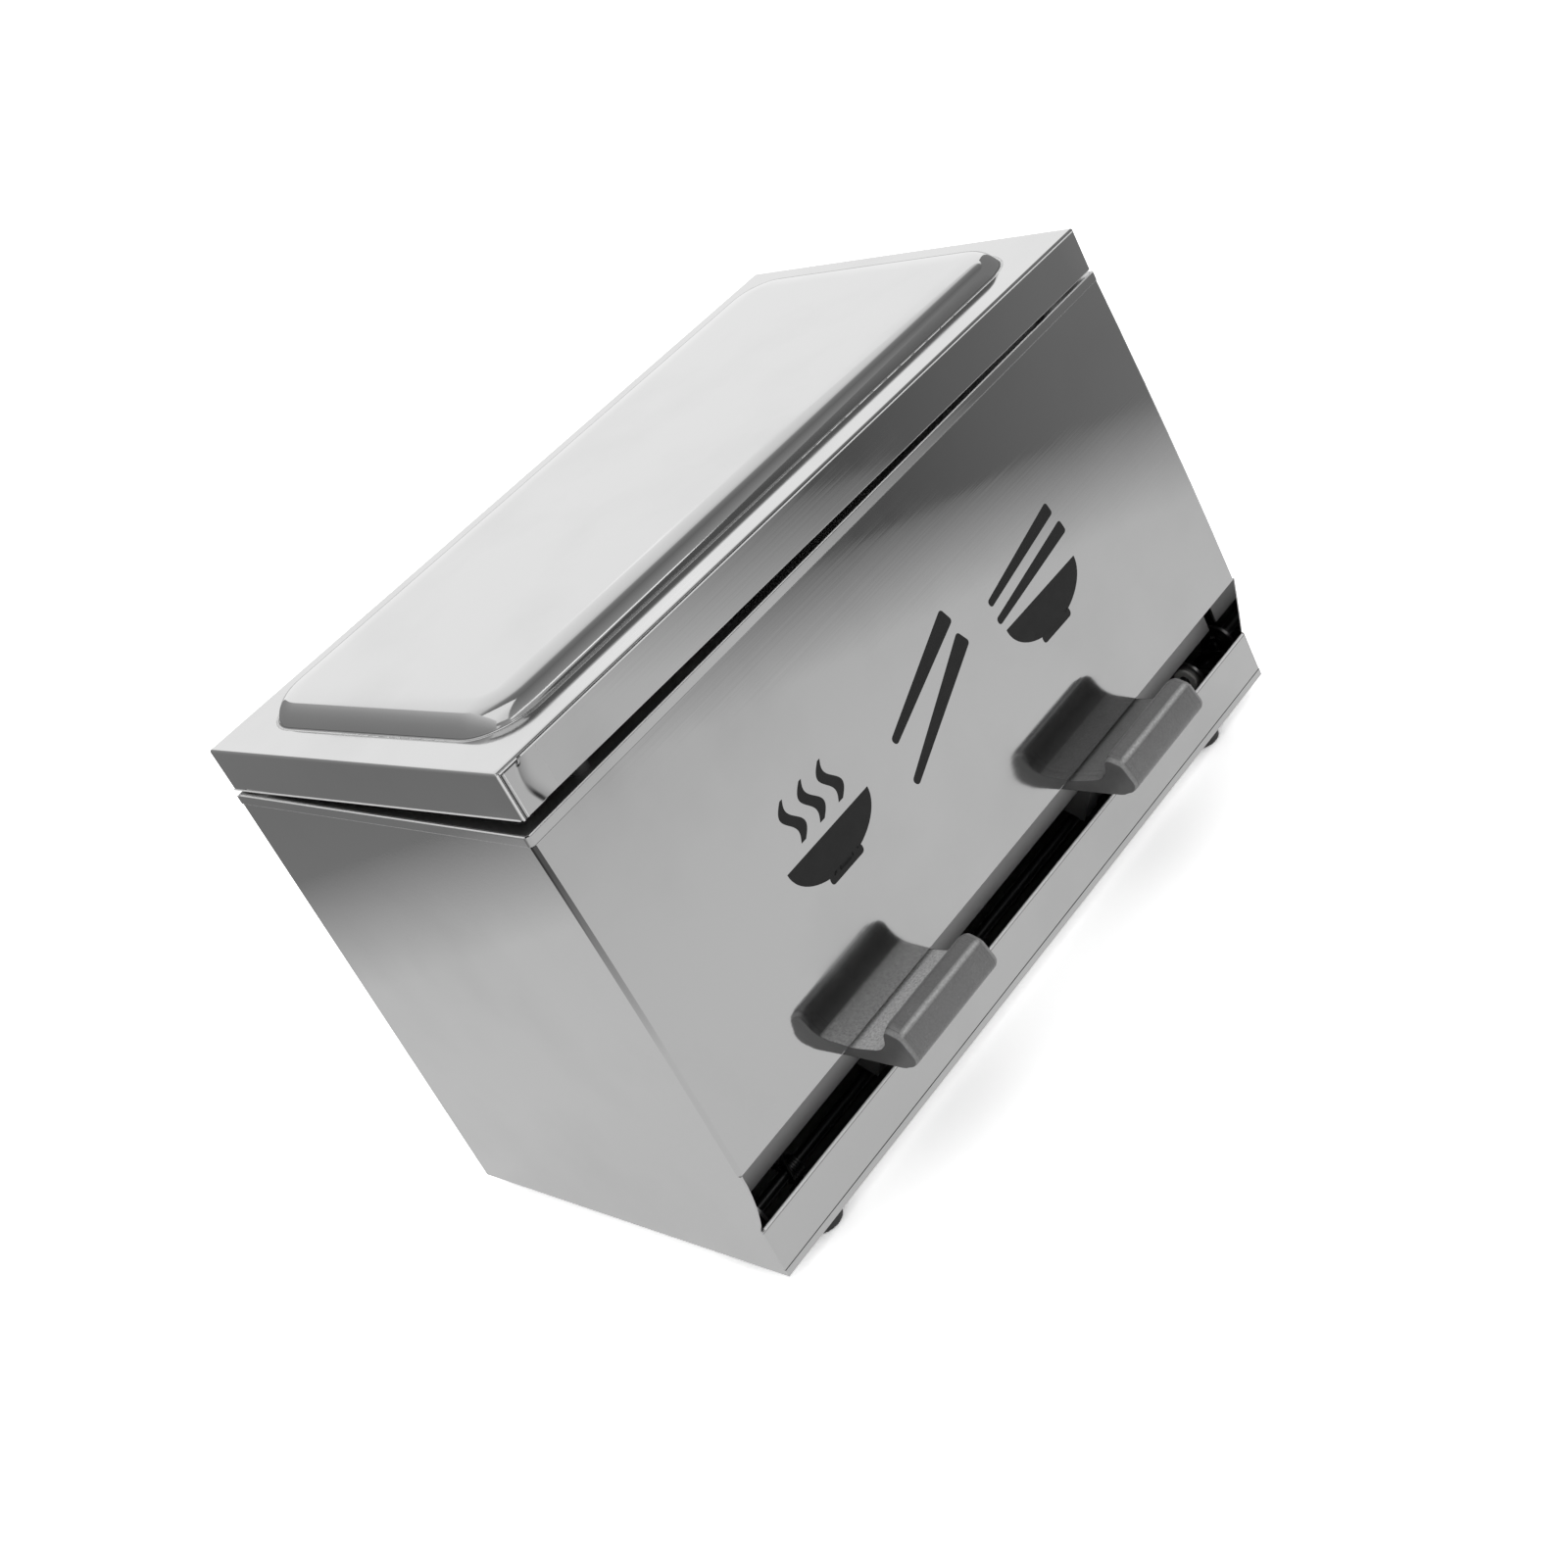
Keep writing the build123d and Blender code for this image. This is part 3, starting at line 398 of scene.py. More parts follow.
texture = make.add(
    "ShaderNodeBump",
    {},
    {"Strength": 0.35, "Distance": 0.00004, "Height": spark, "Normal": rounded},
)
# The lightening attribute paints sheen and highlights into the plastic's grey, and makes it rougher
# there.
level = worn * (spark * 0.4 + 0.06) + scuff * 0.04 + 0.115
tone = make.add("ShaderNodeCombineColor", {}, {0: level, 1: level, 2: level})
rough = worn * 0.25 + scuff * 0.12 + 0.16
surface(make, {"Base Color": tone, "Roughness": rough, "Normal": texture})


def side_face(mesh, x, outline):
    """A flat face across the box, from the y and z of its corners."""
    corners = [mesh.verts.new((x, y / 1000 + front_y, z / 1000 + base_z)) for y, z in outline]
    return mesh.faces.new(corners)


def push(mesh, face, step):
    """Draws a face out along the box and gives back the new end face."""
    raised = bmesh.ops.extrude_face_region(mesh, geom=[face])["geom"]
    end = next(item for item in raised if isinstance(item, bmesh.types.BMFace))
    bmesh.ops.translate(mesh, vec=(step, 0, 0), verts=list(end.verts))
    return end


axle_radius = (axle_high[2] - axle_low[2]) / 2
for side in ("left", "right"):
    lever_low, lever_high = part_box(f"press_lever_{side}")
    lever_x = (lever_low[0] + lever_high[0]) / 2
    lever = bmesh.new()
    lightening_layer = lever.verts.layers.float.new("worn")
    side_face(lever, lever_x - lever_width / 2, [(y, z) for y, z, _ in lever_side])
    for y, z, start in lever_side:
        if start:
            at_corner = Vector((lever_x - lever_width / 2, y / 1000 + front_y, z / 1000 + base_z))
            corner = min(lever.verts, key=lambda vert: (vert.co - at_corner).length)
            bmesh.ops.bevel(
                lever,
                geom=[corner],
                affect="VERTICES",
                offset=start / 1000,
                segments=8,
                profile=0.5,
                material=-1,
            )
    end = max(lever.faces, key=lambda face: len(face.verts))
    bmesh.ops.duplicate(lever, geom=[end])
    for step in (*end_steps, lever_width - 2 * sum(end_steps), *reversed(end_steps)):
        end = push(lever, end, step)
    bmesh.ops.remove_doubles(lever, verts=lever.verts, dist=weld_within)
    for vert in lever.verts:
        inward = lever_width / 2 - abs(vert.co.x - lever_x)
        height = vert.co.z - base_z
        if height > crest_foot:
            vert.co.z -= crest_fall * (height - crest_foot) * max(0, 1 - inward / fall_run) ** 2
        if vert.co.y < front_y - sweep_back:
            vert.co.y += end_sweep * max(0, 1 - inward / sweep_run) ** 2
        back = vert.co.y - front_y
        in_channel = channel_front < back < channel_back and height > channel_foot
        on_crest = back < crest_back and height > crest_low
        lightened_by = channel_sheen[side] if in_channel else crest_lightening if on_crest else 0.0
        to_ridge = min(
            Vector((back - y / 1000, vert.co.z - base_z - z / 1000)).length for y, z in ridges
        )
        vert[lightening_layer] = max(lightened_by * (inward > rim_start), ridge_highlight * (1 - to_ridge / ridge_reach))
        if on_crest and rim_start < inward < rim_end:
            vert[lightening_layer] = rim_highlight
    gusset = side_face(lever, lever_x - gusset_thickness / 2, gusset_side)
    bmesh.ops.duplicate(lever, geom=[gusset])
    push(lever, gusset, gusset_thickness)
    hub = bmesh.ops.create_circle(lever, cap_ends=True, segments=32, radius=hub_radius)["verts"]
    to_axle = Matrix.Translation((lever_x - hub_length / 2, axle_y, axle_z))
    bmesh.ops.transform(lever, matrix=to_axle @ Matrix.Rotation(radians(90), 4, "Y"), verts=hub)
    hub_face = hub[0].link_faces[0]
    wall = hub_radius - axle_radius - hub_clearance
    tube = bmesh.ops.inset_region(
        lever, faces=[hub_face], thickness=wall, use_even_offset=True
    )["faces"]
    bmesh.ops.delete(lever, geom=[hub_face], context="FACES_ONLY")
    raised = bmesh.ops.extrude_face_region(lever, geom=tube, use_keep_orig=True)["geom"]
    moved = [item for item in raised if isinstance(item, bmesh.types.BMVert)]
    bmesh.ops.translate(lever, vec=(hub_length, 0, 0), verts=moved)
    bmesh.ops.remove_doubles(lever, verts=lever.verts, dist=weld_within)
    bmesh.ops.recalc_face_normals(lever, faces=lever.faces)
    piece(lever, f"hook_{side}", lever_plastic, "rocker", "lever_plastic", f"press_lever_{side}")

# ---- Lid ----
# A pressed tray of the same bright sheet, with a raised pillow in its top and a skirt. The thin
# tray has taken a twist, so that it sits lowest at its front right corner.
sheet = 0.0006
lid_width = 0.2753
lid_depth = 0.1435
lid_front = -0.1426  # from the hinge pin
skirt_rise = 0.0022  # skirt's lower edge above the pin
skirt_height = 0.0148
fold_radius = 0.0007
corner_radius = 0.0009
pillow_margin = 0.012
pillow_corner = 0.0175
pillow_height = 0.0056
foot_slope = radians(66)
shoulder_slope = radians(50)
crown_slope = radians(8)
foot_roll = 0.0006
shoulder_roll = 0.0072
crown_roll = 0.05
crease_width = 0.0005
crown_border = 0.004
rest_tilt = radians(1.3)
sag_right = 0.0024
lift_left = 0.0005
corner_steps = 10
long_steps = 30
short_steps = 16
merge_within = 0.000002
level_within = 0.0000002
flange_shares = (0.12, 0.4, 0.7)  # where the flange's rings lie, from the fold to the pillow
fold_supports = (0.00015, 0.0006)  # loops this far below the fold keep the skirt flat


def plate(mesh, width, depth, corner, rise):
    """A flat face with rounded corners and divided sides, raised above the pin."""
    made = bmesh.ops.create_grid(mesh, x_segments=1, y_segments=1, size=0.5)
    bmesh.ops.scale(mesh, vec=(width, depth, 1), verts=made["verts"])
    shift = (0, lid_front + lid_depth / 2, rise)
    bmesh.ops.translate(mesh, vec=shift, verts=made["verts"])
    bmesh.ops.bevel(
        mesh,
        geom=made["verts"],
        affect="VERTICES",
        offset=corner,
        segments=corner_steps,
        profile=0.5,
        material=-1,
    )
    face = max(mesh.faces, key=lambda face: len(face.verts))
    sides = sorted(face.edges, key=lambda edge: edge.calc_length())[-4:]
    for side, steps in zip(sides, (short_steps, short_steps, long_steps, long_steps)):
        bmesh.ops.subdivide_edges(mesh, edges=[side], cuts=steps - 1)
    return max(mesh.faces, key=lambda face: len(face.verts))


def step_in(mesh, face, steps):
    """Insets a face by steps of run and rise, and gives back the rings of faces."""
    rings = []
    for run, rise in steps:
        made = bmesh.ops.inset_region(
            mesh, faces=[face], thickness=run, depth=rise, use_even_offset=True, use_boundary=True
        )
        rings.append(made["faces"])
    return rings


def arc_steps(radius, start, end, count):
    """Runs and rises along an arc whose slope goes from one angle to another."""
    angles = [start + (end - start) * index / count for index in range(count + 1)]
    return [
        (abs(sin(b) - sin(a)) * radius, abs(cos(a) - cos(b)) * radius)
        for a, b in zip(angles, angles[1:])
    ]


def open_face(mesh, face):
    """Removes a face and gives back the loop of edges round the hole."""
    loop = list(face.edges)
    bmesh.ops.delete(mesh, geom=[face], context="FACES_ONLY")
    return loop


def ring_verts(loop):
    """A loop's vertices in order, from the left end of its front side towards the right."""
    verts = {vert for edge in loop for vert in edge.verts}
    front = min(vert.co.y for vert in verts)
    order = [min((v for v in verts if v.co.y < front + level_within), key=lambda v: v.co.x)]
    around = {v: [e.other_vert(v) for e in v.link_edges if e in loop] for v in verts}
    order.append(max(around[order[0]], key=lambda v: v.co.x))
    while len(order) < len(verts):
        order.append(next(v for v in around[order[-1]] if v != order[-2]))
    return order


def join_rings(mesh, outer, inner):
    """Fills the flat band between two loops with as many edges each."""
    rows = (ring_verts(outer), ring_verts(inner))
    for index in range(len(rows[0])):
        mesh.faces.new((rows[0][index - 1], rows[0][index], rows[1][index], rows[1][index - 1]))


tray = bmesh.new()
skirt_foot = plate(tray, lid_width, lid_depth, corner_radius, skirt_rise)
raised = bmesh.ops.extrude_face_region(tray, geom=[skirt_foot], use_keep_orig=True)["geom"]
lid_top = next(item for item in raised if isinstance(item, bmesh.types.BMFace))
bmesh.ops.translate(tray, vec=(0, 0, skirt_height - fold_radius), verts=list(lid_top.verts))
if lid_top.normal.z < 0:
    bmesh.ops.reverse_faces(tray, faces=[lid_top])
step_in(tray, lid_top, arc_steps(fold_radius, radians(90), 0, 5))
flange_loop = open_face(tray, lid_top)
step_in(tray, skirt_foot, [(sheet, 0)])
open_face(tray, skirt_foot)

pillow_length = lid_width - 2 * pillow_margin
pillow_width = lid_depth - 2 * pillow_margin
skirt_top = skirt_rise + skirt_height
pillow = plate(
    tray,
    pillow_length + 2 * crease_width,
    pillow_width + 2 * crease_width,
    pillow_corner + crease_width,
    skirt_top,
)
foot_loop = list(pillow.edges)
foot_steps = arc_steps(foot_roll, 0, foot_slope, 4)
crown_steps = [
    *arc_steps(shoulder_roll, shoulder_slope, crown_slope, 10),
    *arc_steps(crown_roll, crown_slope, 0, 6),
]
rolls_rise = sum(rise for _, rise in foot_steps + crown_steps)
wall_roll = (pillow_height - rolls_rise) / (cos(shoulder_slope) - cos(foot_slope))
wall_steps = arc_steps(wall_roll, foot_slope, shoulder_slope, 6)
highlight_ring = step_in(tray, pillow, [(crease_width, 0)])
crease_rings = step_in(tray, pillow, foot_steps)
step_in(tray, pillow, wall_steps + crown_steps)
# The flat ring at the pillow's foot is a painted highlight, and the crease's last ring is painted
# shade.
for face in highlight_ring[0]:
    face.material_index = 1
for face in crease_rings[-1]:
    face.material_index = 2
pillow_run = sum(run for run, _ in foot_steps + wall_steps + crown_steps)
crown_loop = open_face(tray, pillow)
for share in flange_shares:
    ring_margin = pillow_margin * share
    ring = plate(
        tray,
        lid_width - 2 * ring_margin,
        lid_depth - 2 * ring_margin,
        pillow_corner * share,
        skirt_top,
    )
    ring_loop = open_face(tray, ring)
    join_rings(tray, flange_loop, ring_loop)
    flange_loop = ring_loop
join_rings(tray, flange_loop, foot_loop)

crown_inset = pillow_margin + pillow_run + crown_border
crown_rows = short_steps + corner_steps // 2
crown_columns = long_steps + 2 * corner_steps + short_steps - crown_rows
crown = bmesh.ops.create_grid(tray, x_segments=crown_columns, y_segments=crown_rows, size=0.5)
bmesh.ops.scale(
    tray,
    vec=(lid_width - 2 * crown_inset, lid_depth - 2 * crown_inset, 1),
    verts=crown["verts"],
)
bmesh.ops.translate(
    tray,
    vec=(0, lid_front + lid_depth / 2, skirt_top + pillow_height),
    verts=crown["verts"],
)
crown_edges = {edge for vert in crown["verts"] for edge in vert.link_edges if edge.is_boundary}
bmesh.ops.bridge_loops(tray, edges=crown_loop + list(crown_edges))
bmesh.ops.remove_doubles(tray, verts=tray.verts, dist=merge_within)
bmesh.ops.dissolve_degenerate(tray, edges=tray.edges, dist=merge_within)
for gap_to_fold in fold_supports:
    bmesh.ops.bisect_plane(
        tray,
        geom=[*tray.verts, *tray.edges, *tray.faces],
        plane_co=(0, 0, skirt_top - fold_radius - gap_to_fold),
        plane_no=(0, 0, 1),
    )
bmesh.ops.recalc_face_normals(tray, faces=tray.faces)


def twist(point):
    """How far the tray's twist lifts a point."""
    across = point.x / lid_width + 0.5
    forward = 1 - (point.y - lid_front) / lid_depth
    return forward * (lift_left * (1 - across) - sag_right * across)


for vert in tray.verts:
    vert.co.z += twist(vert.co)
pin_low, pin_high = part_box("hinge_pin")
pin = (Vector(pin_low) + Vector(pin_high)) / 2
rest = Matrix.Translation(pin) @ Matrix.Rotation(-rest_tilt, 4, "X")
bmesh.ops.transform(tray, matrix=rest, verts=tray.verts)

lid_tray = piece(tray, "lid_tray", bright_steel, "lid", "polished_steel", "lid_shell")
# Pale matt grey for painted highlights.
painted_highlight = plain("painted_highlight", 0.85, 0.5)
# Near-black grey for painted shade in grooves.
groove_shade = plain("groove_shade", 0.06, 0.5)
# Material 1 paints the highlight at the pillow's foot, and material 2 paints shade in its crease.
lid_tray.data.materials.append(painted_highlight)
lid_tray.data.materials.append(steel("crease_shade_steel", 0.2, 0.2, 0.2, 0.0))
gauge = lid_tray.modifiers.new("gauge", "SOLIDIFY")
gauge.thickness = sheet
gauge.offset = -1

# ---- Lapped corner of the lid ----
# The end of the left skirt is folded round the corner and dressed down over the front skirt, where
# its edge fades into the sheet along a crooked dent, with a small crumple at the top. Painted shade
# darkens the sheet along the dent and round the crumple.
lap_width = 0.0135
lap_edge = 0.0066
lap_blend = 0.0028
lap_stand = 0.0004
lap_head_room = 0.0001
lap_height = skirt_height - fold_radius - lap_head_room
lap_gap = 0.00003
lap_sheet = 0.0003
lap_cells = 54
edge_crook = 0.0012
crook_run, crook_start = 4.2, 2.6
edge_lean = 0.0014
crumple_along, crumple_down = 0.0072, 0.0008
crumple_radius = 0.0011
crumple_height = 0.00035
crumple_waves = 5
shade_out, shade_in = 0.005, 0.0009
edge_shade, crumple_shade = 0.55, 0.3
lap = bmesh.new()
bmesh.ops.create_grid(lap, x_segments=lap_cells, y_segments=lap_cells, size=0.5)
upright_turn = Matrix.Rotation(radians(90), 3, "X")
bmesh.ops.rotate(lap, cent=(0, 0, 0), matrix=upright_turn, verts=lap.verts)
bmesh.ops.scale(lap, vec=(lap_width, 1, lap_height), verts=lap.verts)
lap_middle = (
    -lid_width / 2 + corner_radius + lap_width / 2,
    lid_front,
    skirt_rise + lap_height / 2,
)
bmesh.ops.translate(lap, vec=lap_middle, verts=lap.verts)
stain = lap.verts.layers.float.new("stain")
for vert in lap.verts:
    along = vert.co.x + lid_width / 2
    rise = (vert.co.z - skirt_rise) / lap_height
    edge = lap_edge + edge_crook * sin(rise * crook_run + crook_start) + edge_lean * (1 - rise)
    blend = min(max((edge + lap_blend / 2 - along) / lap_blend, 0), 1)
    stand = lap_stand * blend * blend * (3 - 2 * blend) + lap_gap
    to_crumple = Vector((along - crumple_along, (1 - rise) * lap_height - crumple_down))
    crumple = to_crumple.length / crumple_radius
    vert.co.y -= stand + crumple_height * max(0, 1 - crumple) * cos(crumple * crumple_waves)
    # Painted shade: darkest at the dent's edge, fading out over the lap, and round the crumple.
    past = along - edge
    fade = 1 - min(past / shade_out, 1) if past > 0 else max(0, 1 + past / shade_in)
    vert[stain] = edge_shade * fade * fade + crumple_shade * max(0, 1 - crumple)
    vert.co.z += twist(vert.co)
bmesh.ops.transform(lap, matrix=rest, verts=lap.verts)
bmesh.ops.recalc_face_normals(lap, faces=lap.faces)
lap.faces.ensure_lookup_table()
if lap.faces[0].normal.y > 0:
    bmesh.ops.reverse_faces(lap, faces=lap.faces)
lap_shade_material, make = finish("dent_shaded_steel")
amount = make.add("ShaderNodeAttribute", {"attribute_name": "stain"}, out=2)
level = (1 - amount) * 0.55
tone = make.add("ShaderNodeCombineColor", {}, {0: level, 1: level, 2: level})
surface(make, {"Base Color": tone, "Metallic": 1.0, "Roughness": 0.07})
lap_piece = piece(lap, "lid_corner_lap", lap_shade_material, "lid", "polished_steel")
lap_gauge = lap_piece.modifiers.new("gauge", "SOLIDIFY")
lap_gauge.thickness = lap_sheet
lap_gauge.offset = -1

# ---- Lid hem, painted highlights and painted shade ----
# The skirt's foot is folded in by a narrow hem at the front and both sides. Pale beads paint
# highlights along the crests of its folds, and dark beads paint shade in the grooves beside the
# lap.
skirt_hem = 0.006


def bead(mesh, start, end, radius):
    """A thin round bead from one point to another."""
    run = Vector(end) - Vector(start)
    middle = Matrix.Translation((Vector(start) + Vector(end)) / 2)
    place = middle @ run.to_track_quat("Z", "Y").to_matrix().to_4x4()
    bmesh.ops.create_cone(
        mesh,
        cap_ends=True,
        segments=8,
        radius1=radius,
        radius2=radius,
        depth=run.length,
        matrix=place,
    )


def onto_lid(mesh):
    """Gives a mesh made in the lid's measures the lid's twist and place."""
    for vert in mesh.verts:
        vert.co.z += twist(vert.co)
    bmesh.ops.transform(mesh, matrix=rest, verts=mesh.verts)


hem = bmesh.new()
side_x = lid_width / 2 - sheet - skirt_hem / 2
side_run = lid_depth - 2 * sheet - 2 * skirt_hem
hem_strips = (
    ((0, lid_front + sheet + skirt_hem / 2), (lid_width - 2 * sheet, skirt_hem)),
    ((-side_x, lid_front + lid_depth / 2), (skirt_hem, side_run)),
    ((side_x, lid_front + lid_depth / 2), (skirt_hem, side_run)),
)
for middle, size in hem_strips:
    strip = bmesh.ops.create_grid(hem, x_segments=12, y_segments=12, size=0.5)["verts"]
    bmesh.ops.scale(hem, vec=(*size, 1), verts=strip)
    bmesh.ops.translate(hem, vec=(*middle, skirt_rise + sheet), verts=strip)
onto_lid(hem)
bmesh.ops.recalc_face_normals(hem, faces=hem.faces)
hem_piece = piece(hem, "lid_hem", bright_steel, "lid", "polished_steel")
hem_gauge = hem_piece.modifiers.new("gauge", "SOLIDIFY")
hem_gauge.thickness = sheet
hem_gauge.offset = 0

lid_left, lid_right = -lid_width / 2, lid_width / 2
lid_back = lid_front + lid_depth
lap_face = lid_front - lap_stand
lap_end = lid_left + 0.0075
corner_x, edge_x, groove_x = lid_left + 0.0003, lid_left + 0.002, lid_left + 0.0012
lap_top, lap_groove = skirt_top - 0.0005, skirt_top - 0.001
skirt_crest = skirt_top - 0.0009
# Pale beads along the lid's folds and edges: painted highlights.
bright_lines = (
    ((lid_left, lid_front + 0.001, skirt_rise), (lid_left, lid_back, skirt_rise), 0.00025),
    ((corner_x, lap_face, skirt_rise), (corner_x, lap_face, skirt_top - 0.0004), 0.0003),
    ((edge_x, lap_face, skirt_rise), (edge_x, lap_face, skirt_crest), 0.0002),
    ((lid_left + 0.001, lap_face, lap_top), (lap_end, lap_face, lap_top), 0.0002),
    (
        (lap_end + 0.0015, lid_front, skirt_crest),
        (lid_right - 0.001, lid_front, skirt_crest),
        0.0002,
    ),
)
# Dark beads in the grooves beside the lap: painted shade.
dark_lines = (
    ((groove_x, lap_face, skirt_rise), (groove_x, lap_face, skirt_top - 0.0008), 0.00025),
    ((lid_left + 0.0016, lap_face, lap_groove), (lap_end, lap_face, lap_groove), 0.0002),
)
for name, material, lines in (
    ("lid_highlight_beads", painted_highlight, bright_lines),
    ("lid_shade_lines", groove_shade, dark_lines),
):
    edges = bmesh.new()
    for start, end, radius in lines:
        bead(edges, start, end, radius)
    onto_lid(edges)
    piece(edges, name, material, "lid", "polished_steel")

# ---- Front left bend ----
# A thin quarter-round skin over the wrap's front left bend carries a painted dark reflection,
# darkest near the top.
bend_radius = 0.0012
bend_stand = 0.0001
bend_foot, bend_top = 0.0455, 0.1612
hem_stand = 0.00035  # how far the hem stands out past the wrap's side
past_bend = 0.0001
bend_lit_tone, bend_dark_reflection = 0.54, 0.11
reflection_foot, reflection_top = 0.09, 0.153
bend_x = wrap_low[0] + hem_stand + bend_radius
panel = BVHTree.FromObject(nodes["body_wrap"], bpy.context.evaluated_depsgraph_get())


def touch_panel(x, z):
    """Where the front panel's face is, straight behind a point in front of the box."""
    return panel.ray_cast(Vector((x, -1, z)), Vector((0, 1, 0)))[0].y


bend = bmesh.new()
bmesh.ops.create_grid(bend, x_segments=12, y_segments=20, size=0.5)
for vert in bend.verts:
    turned = (vert.co.x + 0.5) * radians(90)
    height = bend_foot + (vert.co.y + 0.5) * (bend_top - bend_foot)
    middle_y = touch_panel(bend_x + past_bend, height) + bend_radius
    reach = bend_radius + bend_stand
    vert.co = (bend_x - reach * cos(turned), middle_y - reach * sin(turned), height)
bmesh.ops.recalc_face_normals(bend, faces=bend.faces)
bend.faces.ensure_lookup_table()
if bend.faces[0].normal.y > 0 or bend.faces[0].normal.x > 0:
    bmesh.ops.reverse_faces(bend, faces=bend.faces)
bend_steel, make = finish("bend_steel")
height = make.add("ShaderNodeSeparateXYZ", {}, {0: make.add("ShaderNodeTexCoord", out=3)}, out=2)
# Painted reflection: the skin's steel darkens from its lit tone towards the top of the bend.
reflection_fade = {0: height, 1: reflection_foot, 2: reflection_top, 3: bend_lit_tone, 4: bend_dark_reflection}
level = make.add("ShaderNodeMapRange", {}, reflection_fade)
tone = make.add("ShaderNodeCombineColor", {}, {0: level, 1: level, 2: level})
surface(make, {"Base Color": tone, "Metallic": 1.0, "Roughness": 0.12})
piece(bend, "front_bend", bend_steel, "housing", "polished_steel")

# ---- Painted highlights on the body's edges ----
# The hem round the mouth and the fold of the base pan's lip have a painted highlight along their
# crests, carried by a thin pale bead along each crest.
body_edges = bmesh.new()
hem_left = wrap_low[0] + 0.0004
hem_right = wrap_high[0] - 0.001
hem_front = -0.0572
hem_back = 0.081
hem_top = wrap_high[2]
lip_front = pan_low[1] + 0.0002
lip_left, lip_right = pan_low[0] + 0.001, pan_high[0] - 0.001
bead(
    body_edges,
    (hem_left + 0.001, hem_front, hem_top - 0.0002),
    (hem_right, hem_front, hem_top - 0.0002),
    0.0004,
)
bead(body_edges, (hem_left, hem_front + 0.001, hem_top), (hem_left, hem_back, hem_top), 0.00025)
bead(
    body_edges, (lip_left, lip_front, pan_high[2]), (lip_right, lip_front, pan_high[2]), 0.00035
)
piece(body_edges, "body_highlight_beads", painted_highlight, "housing", "polished_steel")

# ---- Hinge ----
# A steel piano hinge behind the box. One leaf is riveted to the back panel and the other inside
# the lid's rear skirt, and a ground pin runs through both.
dress(mill_steel, "hinge_leaf_body", "hinge_leaf_lid")
dress(rod_steel, "hinge_pin", "hinge_rivets_body", "hinge_rivets_lid")

# ---- Printed signs ----
# Three dark signs are screen-printed along the front panel: a steaming bowl, a pair of chopsticks
# and a bowl with chopsticks across it.
ink, make = finish("print_ink")
place = make.add("ShaderNodeTexCoord", out=3)
mottle = make.add("ShaderNodeTexNoise", {}, {"Vector": place, "Scale": 260.0, "Detail": 3.0})
surface(
    make,
    {
        "Base Color": (0.016, 0.016, 0.016, 1),
        "Roughness": mottle * 0.25 + 0.35,
        "Specular IOR Level": 0.25,
    },
)
ink_build = 0.00004
tip_rounding = 0.4
foot_share = 0.4
foot_width = 0.003
wisp_width = 0.0042
wisp_sway = 0.002


def stroke(mesh, start, end, start_width, end_width):
    """A straight stroke in the plane of the panel, from start to end."""
    start, end = Vector(start), Vector(end)
    made = bmesh.ops.create_grid(mesh, x_segments=10, y_segments=1, size=0.5)["verts"]
    run = end - start
    aside = run.orthogonal().normalized()
    for vert in made:
        along = vert.co.x + 0.5
        width = start_width + (end_width - start_width) * along
        flat = start + run * along + aside * vert.co.y * width
        vert.co = (flat.x, 0, flat.y)
    tips = [vert for vert in made if len(vert.link_edges) == 2]
    bmesh.ops.bevel(
        mesh,
        geom=tips,
        affect="VERTICES",
        offset=min(start_width, end_width) * tip_rounding,
        segments=4,
        profile=0.5,
        material=-1,
    )


def bowl(mesh, middle, radius, depth):
    """A half-round bowl with a foot, its rim level at the middle point."""
    made = bmesh.ops.create_circle(mesh, cap_ends=True, segments=64, radius=radius)["verts"]
    bmesh.ops.rotate(mesh, cent=(0, 0, 0), matrix=upright_turn, verts=made)
    bmesh.ops.scale(mesh, vec=(1, 1, depth / radius), verts=made)
    bmesh.ops.translate(mesh, vec=(middle[0], 0, middle[1]), verts=made)
    disc = made[0].link_faces[0]
    bmesh.ops.bisect_plane(
        mesh,
        geom=[disc, *disc.edges, *made],
        plane_co=(0, 0, middle[1]),
        plane_no=(0, 0, 1),
        clear_outer=True,
    )
    foot = middle[1] - depth
    foot_half = radius * foot_share
    foot_ends = ((middle[0] - foot_half, foot), (middle[0] + foot_half, foot))
    stroke(mesh, *foot_ends, foot_width, foot_width)


def steam(mesh, x, z, height):
    """A wavy wisp of steam over a bowl."""
    made = bmesh.ops.create_grid(mesh, x_segments=24, y_segments=1, size=0.5)["verts"]
    for vert in made:
        along = vert.co.x + 0.5
        width = wisp_width * sin(radians(30 + 135 * along))
        vert.co = (x + wisp_sway * sin(tau * along) + vert.co.y * width, 0, z + along * height)


sign_z = 0.1015
bowl_rim = sign_z - 0.002
bowl_radius, bowl_depth = 0.0195, 0.0125
wisps = (-0.009, 0, 0.009)
wisp_foot = sign_z + 0.0015
wisp_height = 0.0145
cut_spacing = 0.004  # level cuts, so that a sign follows the panel's bow
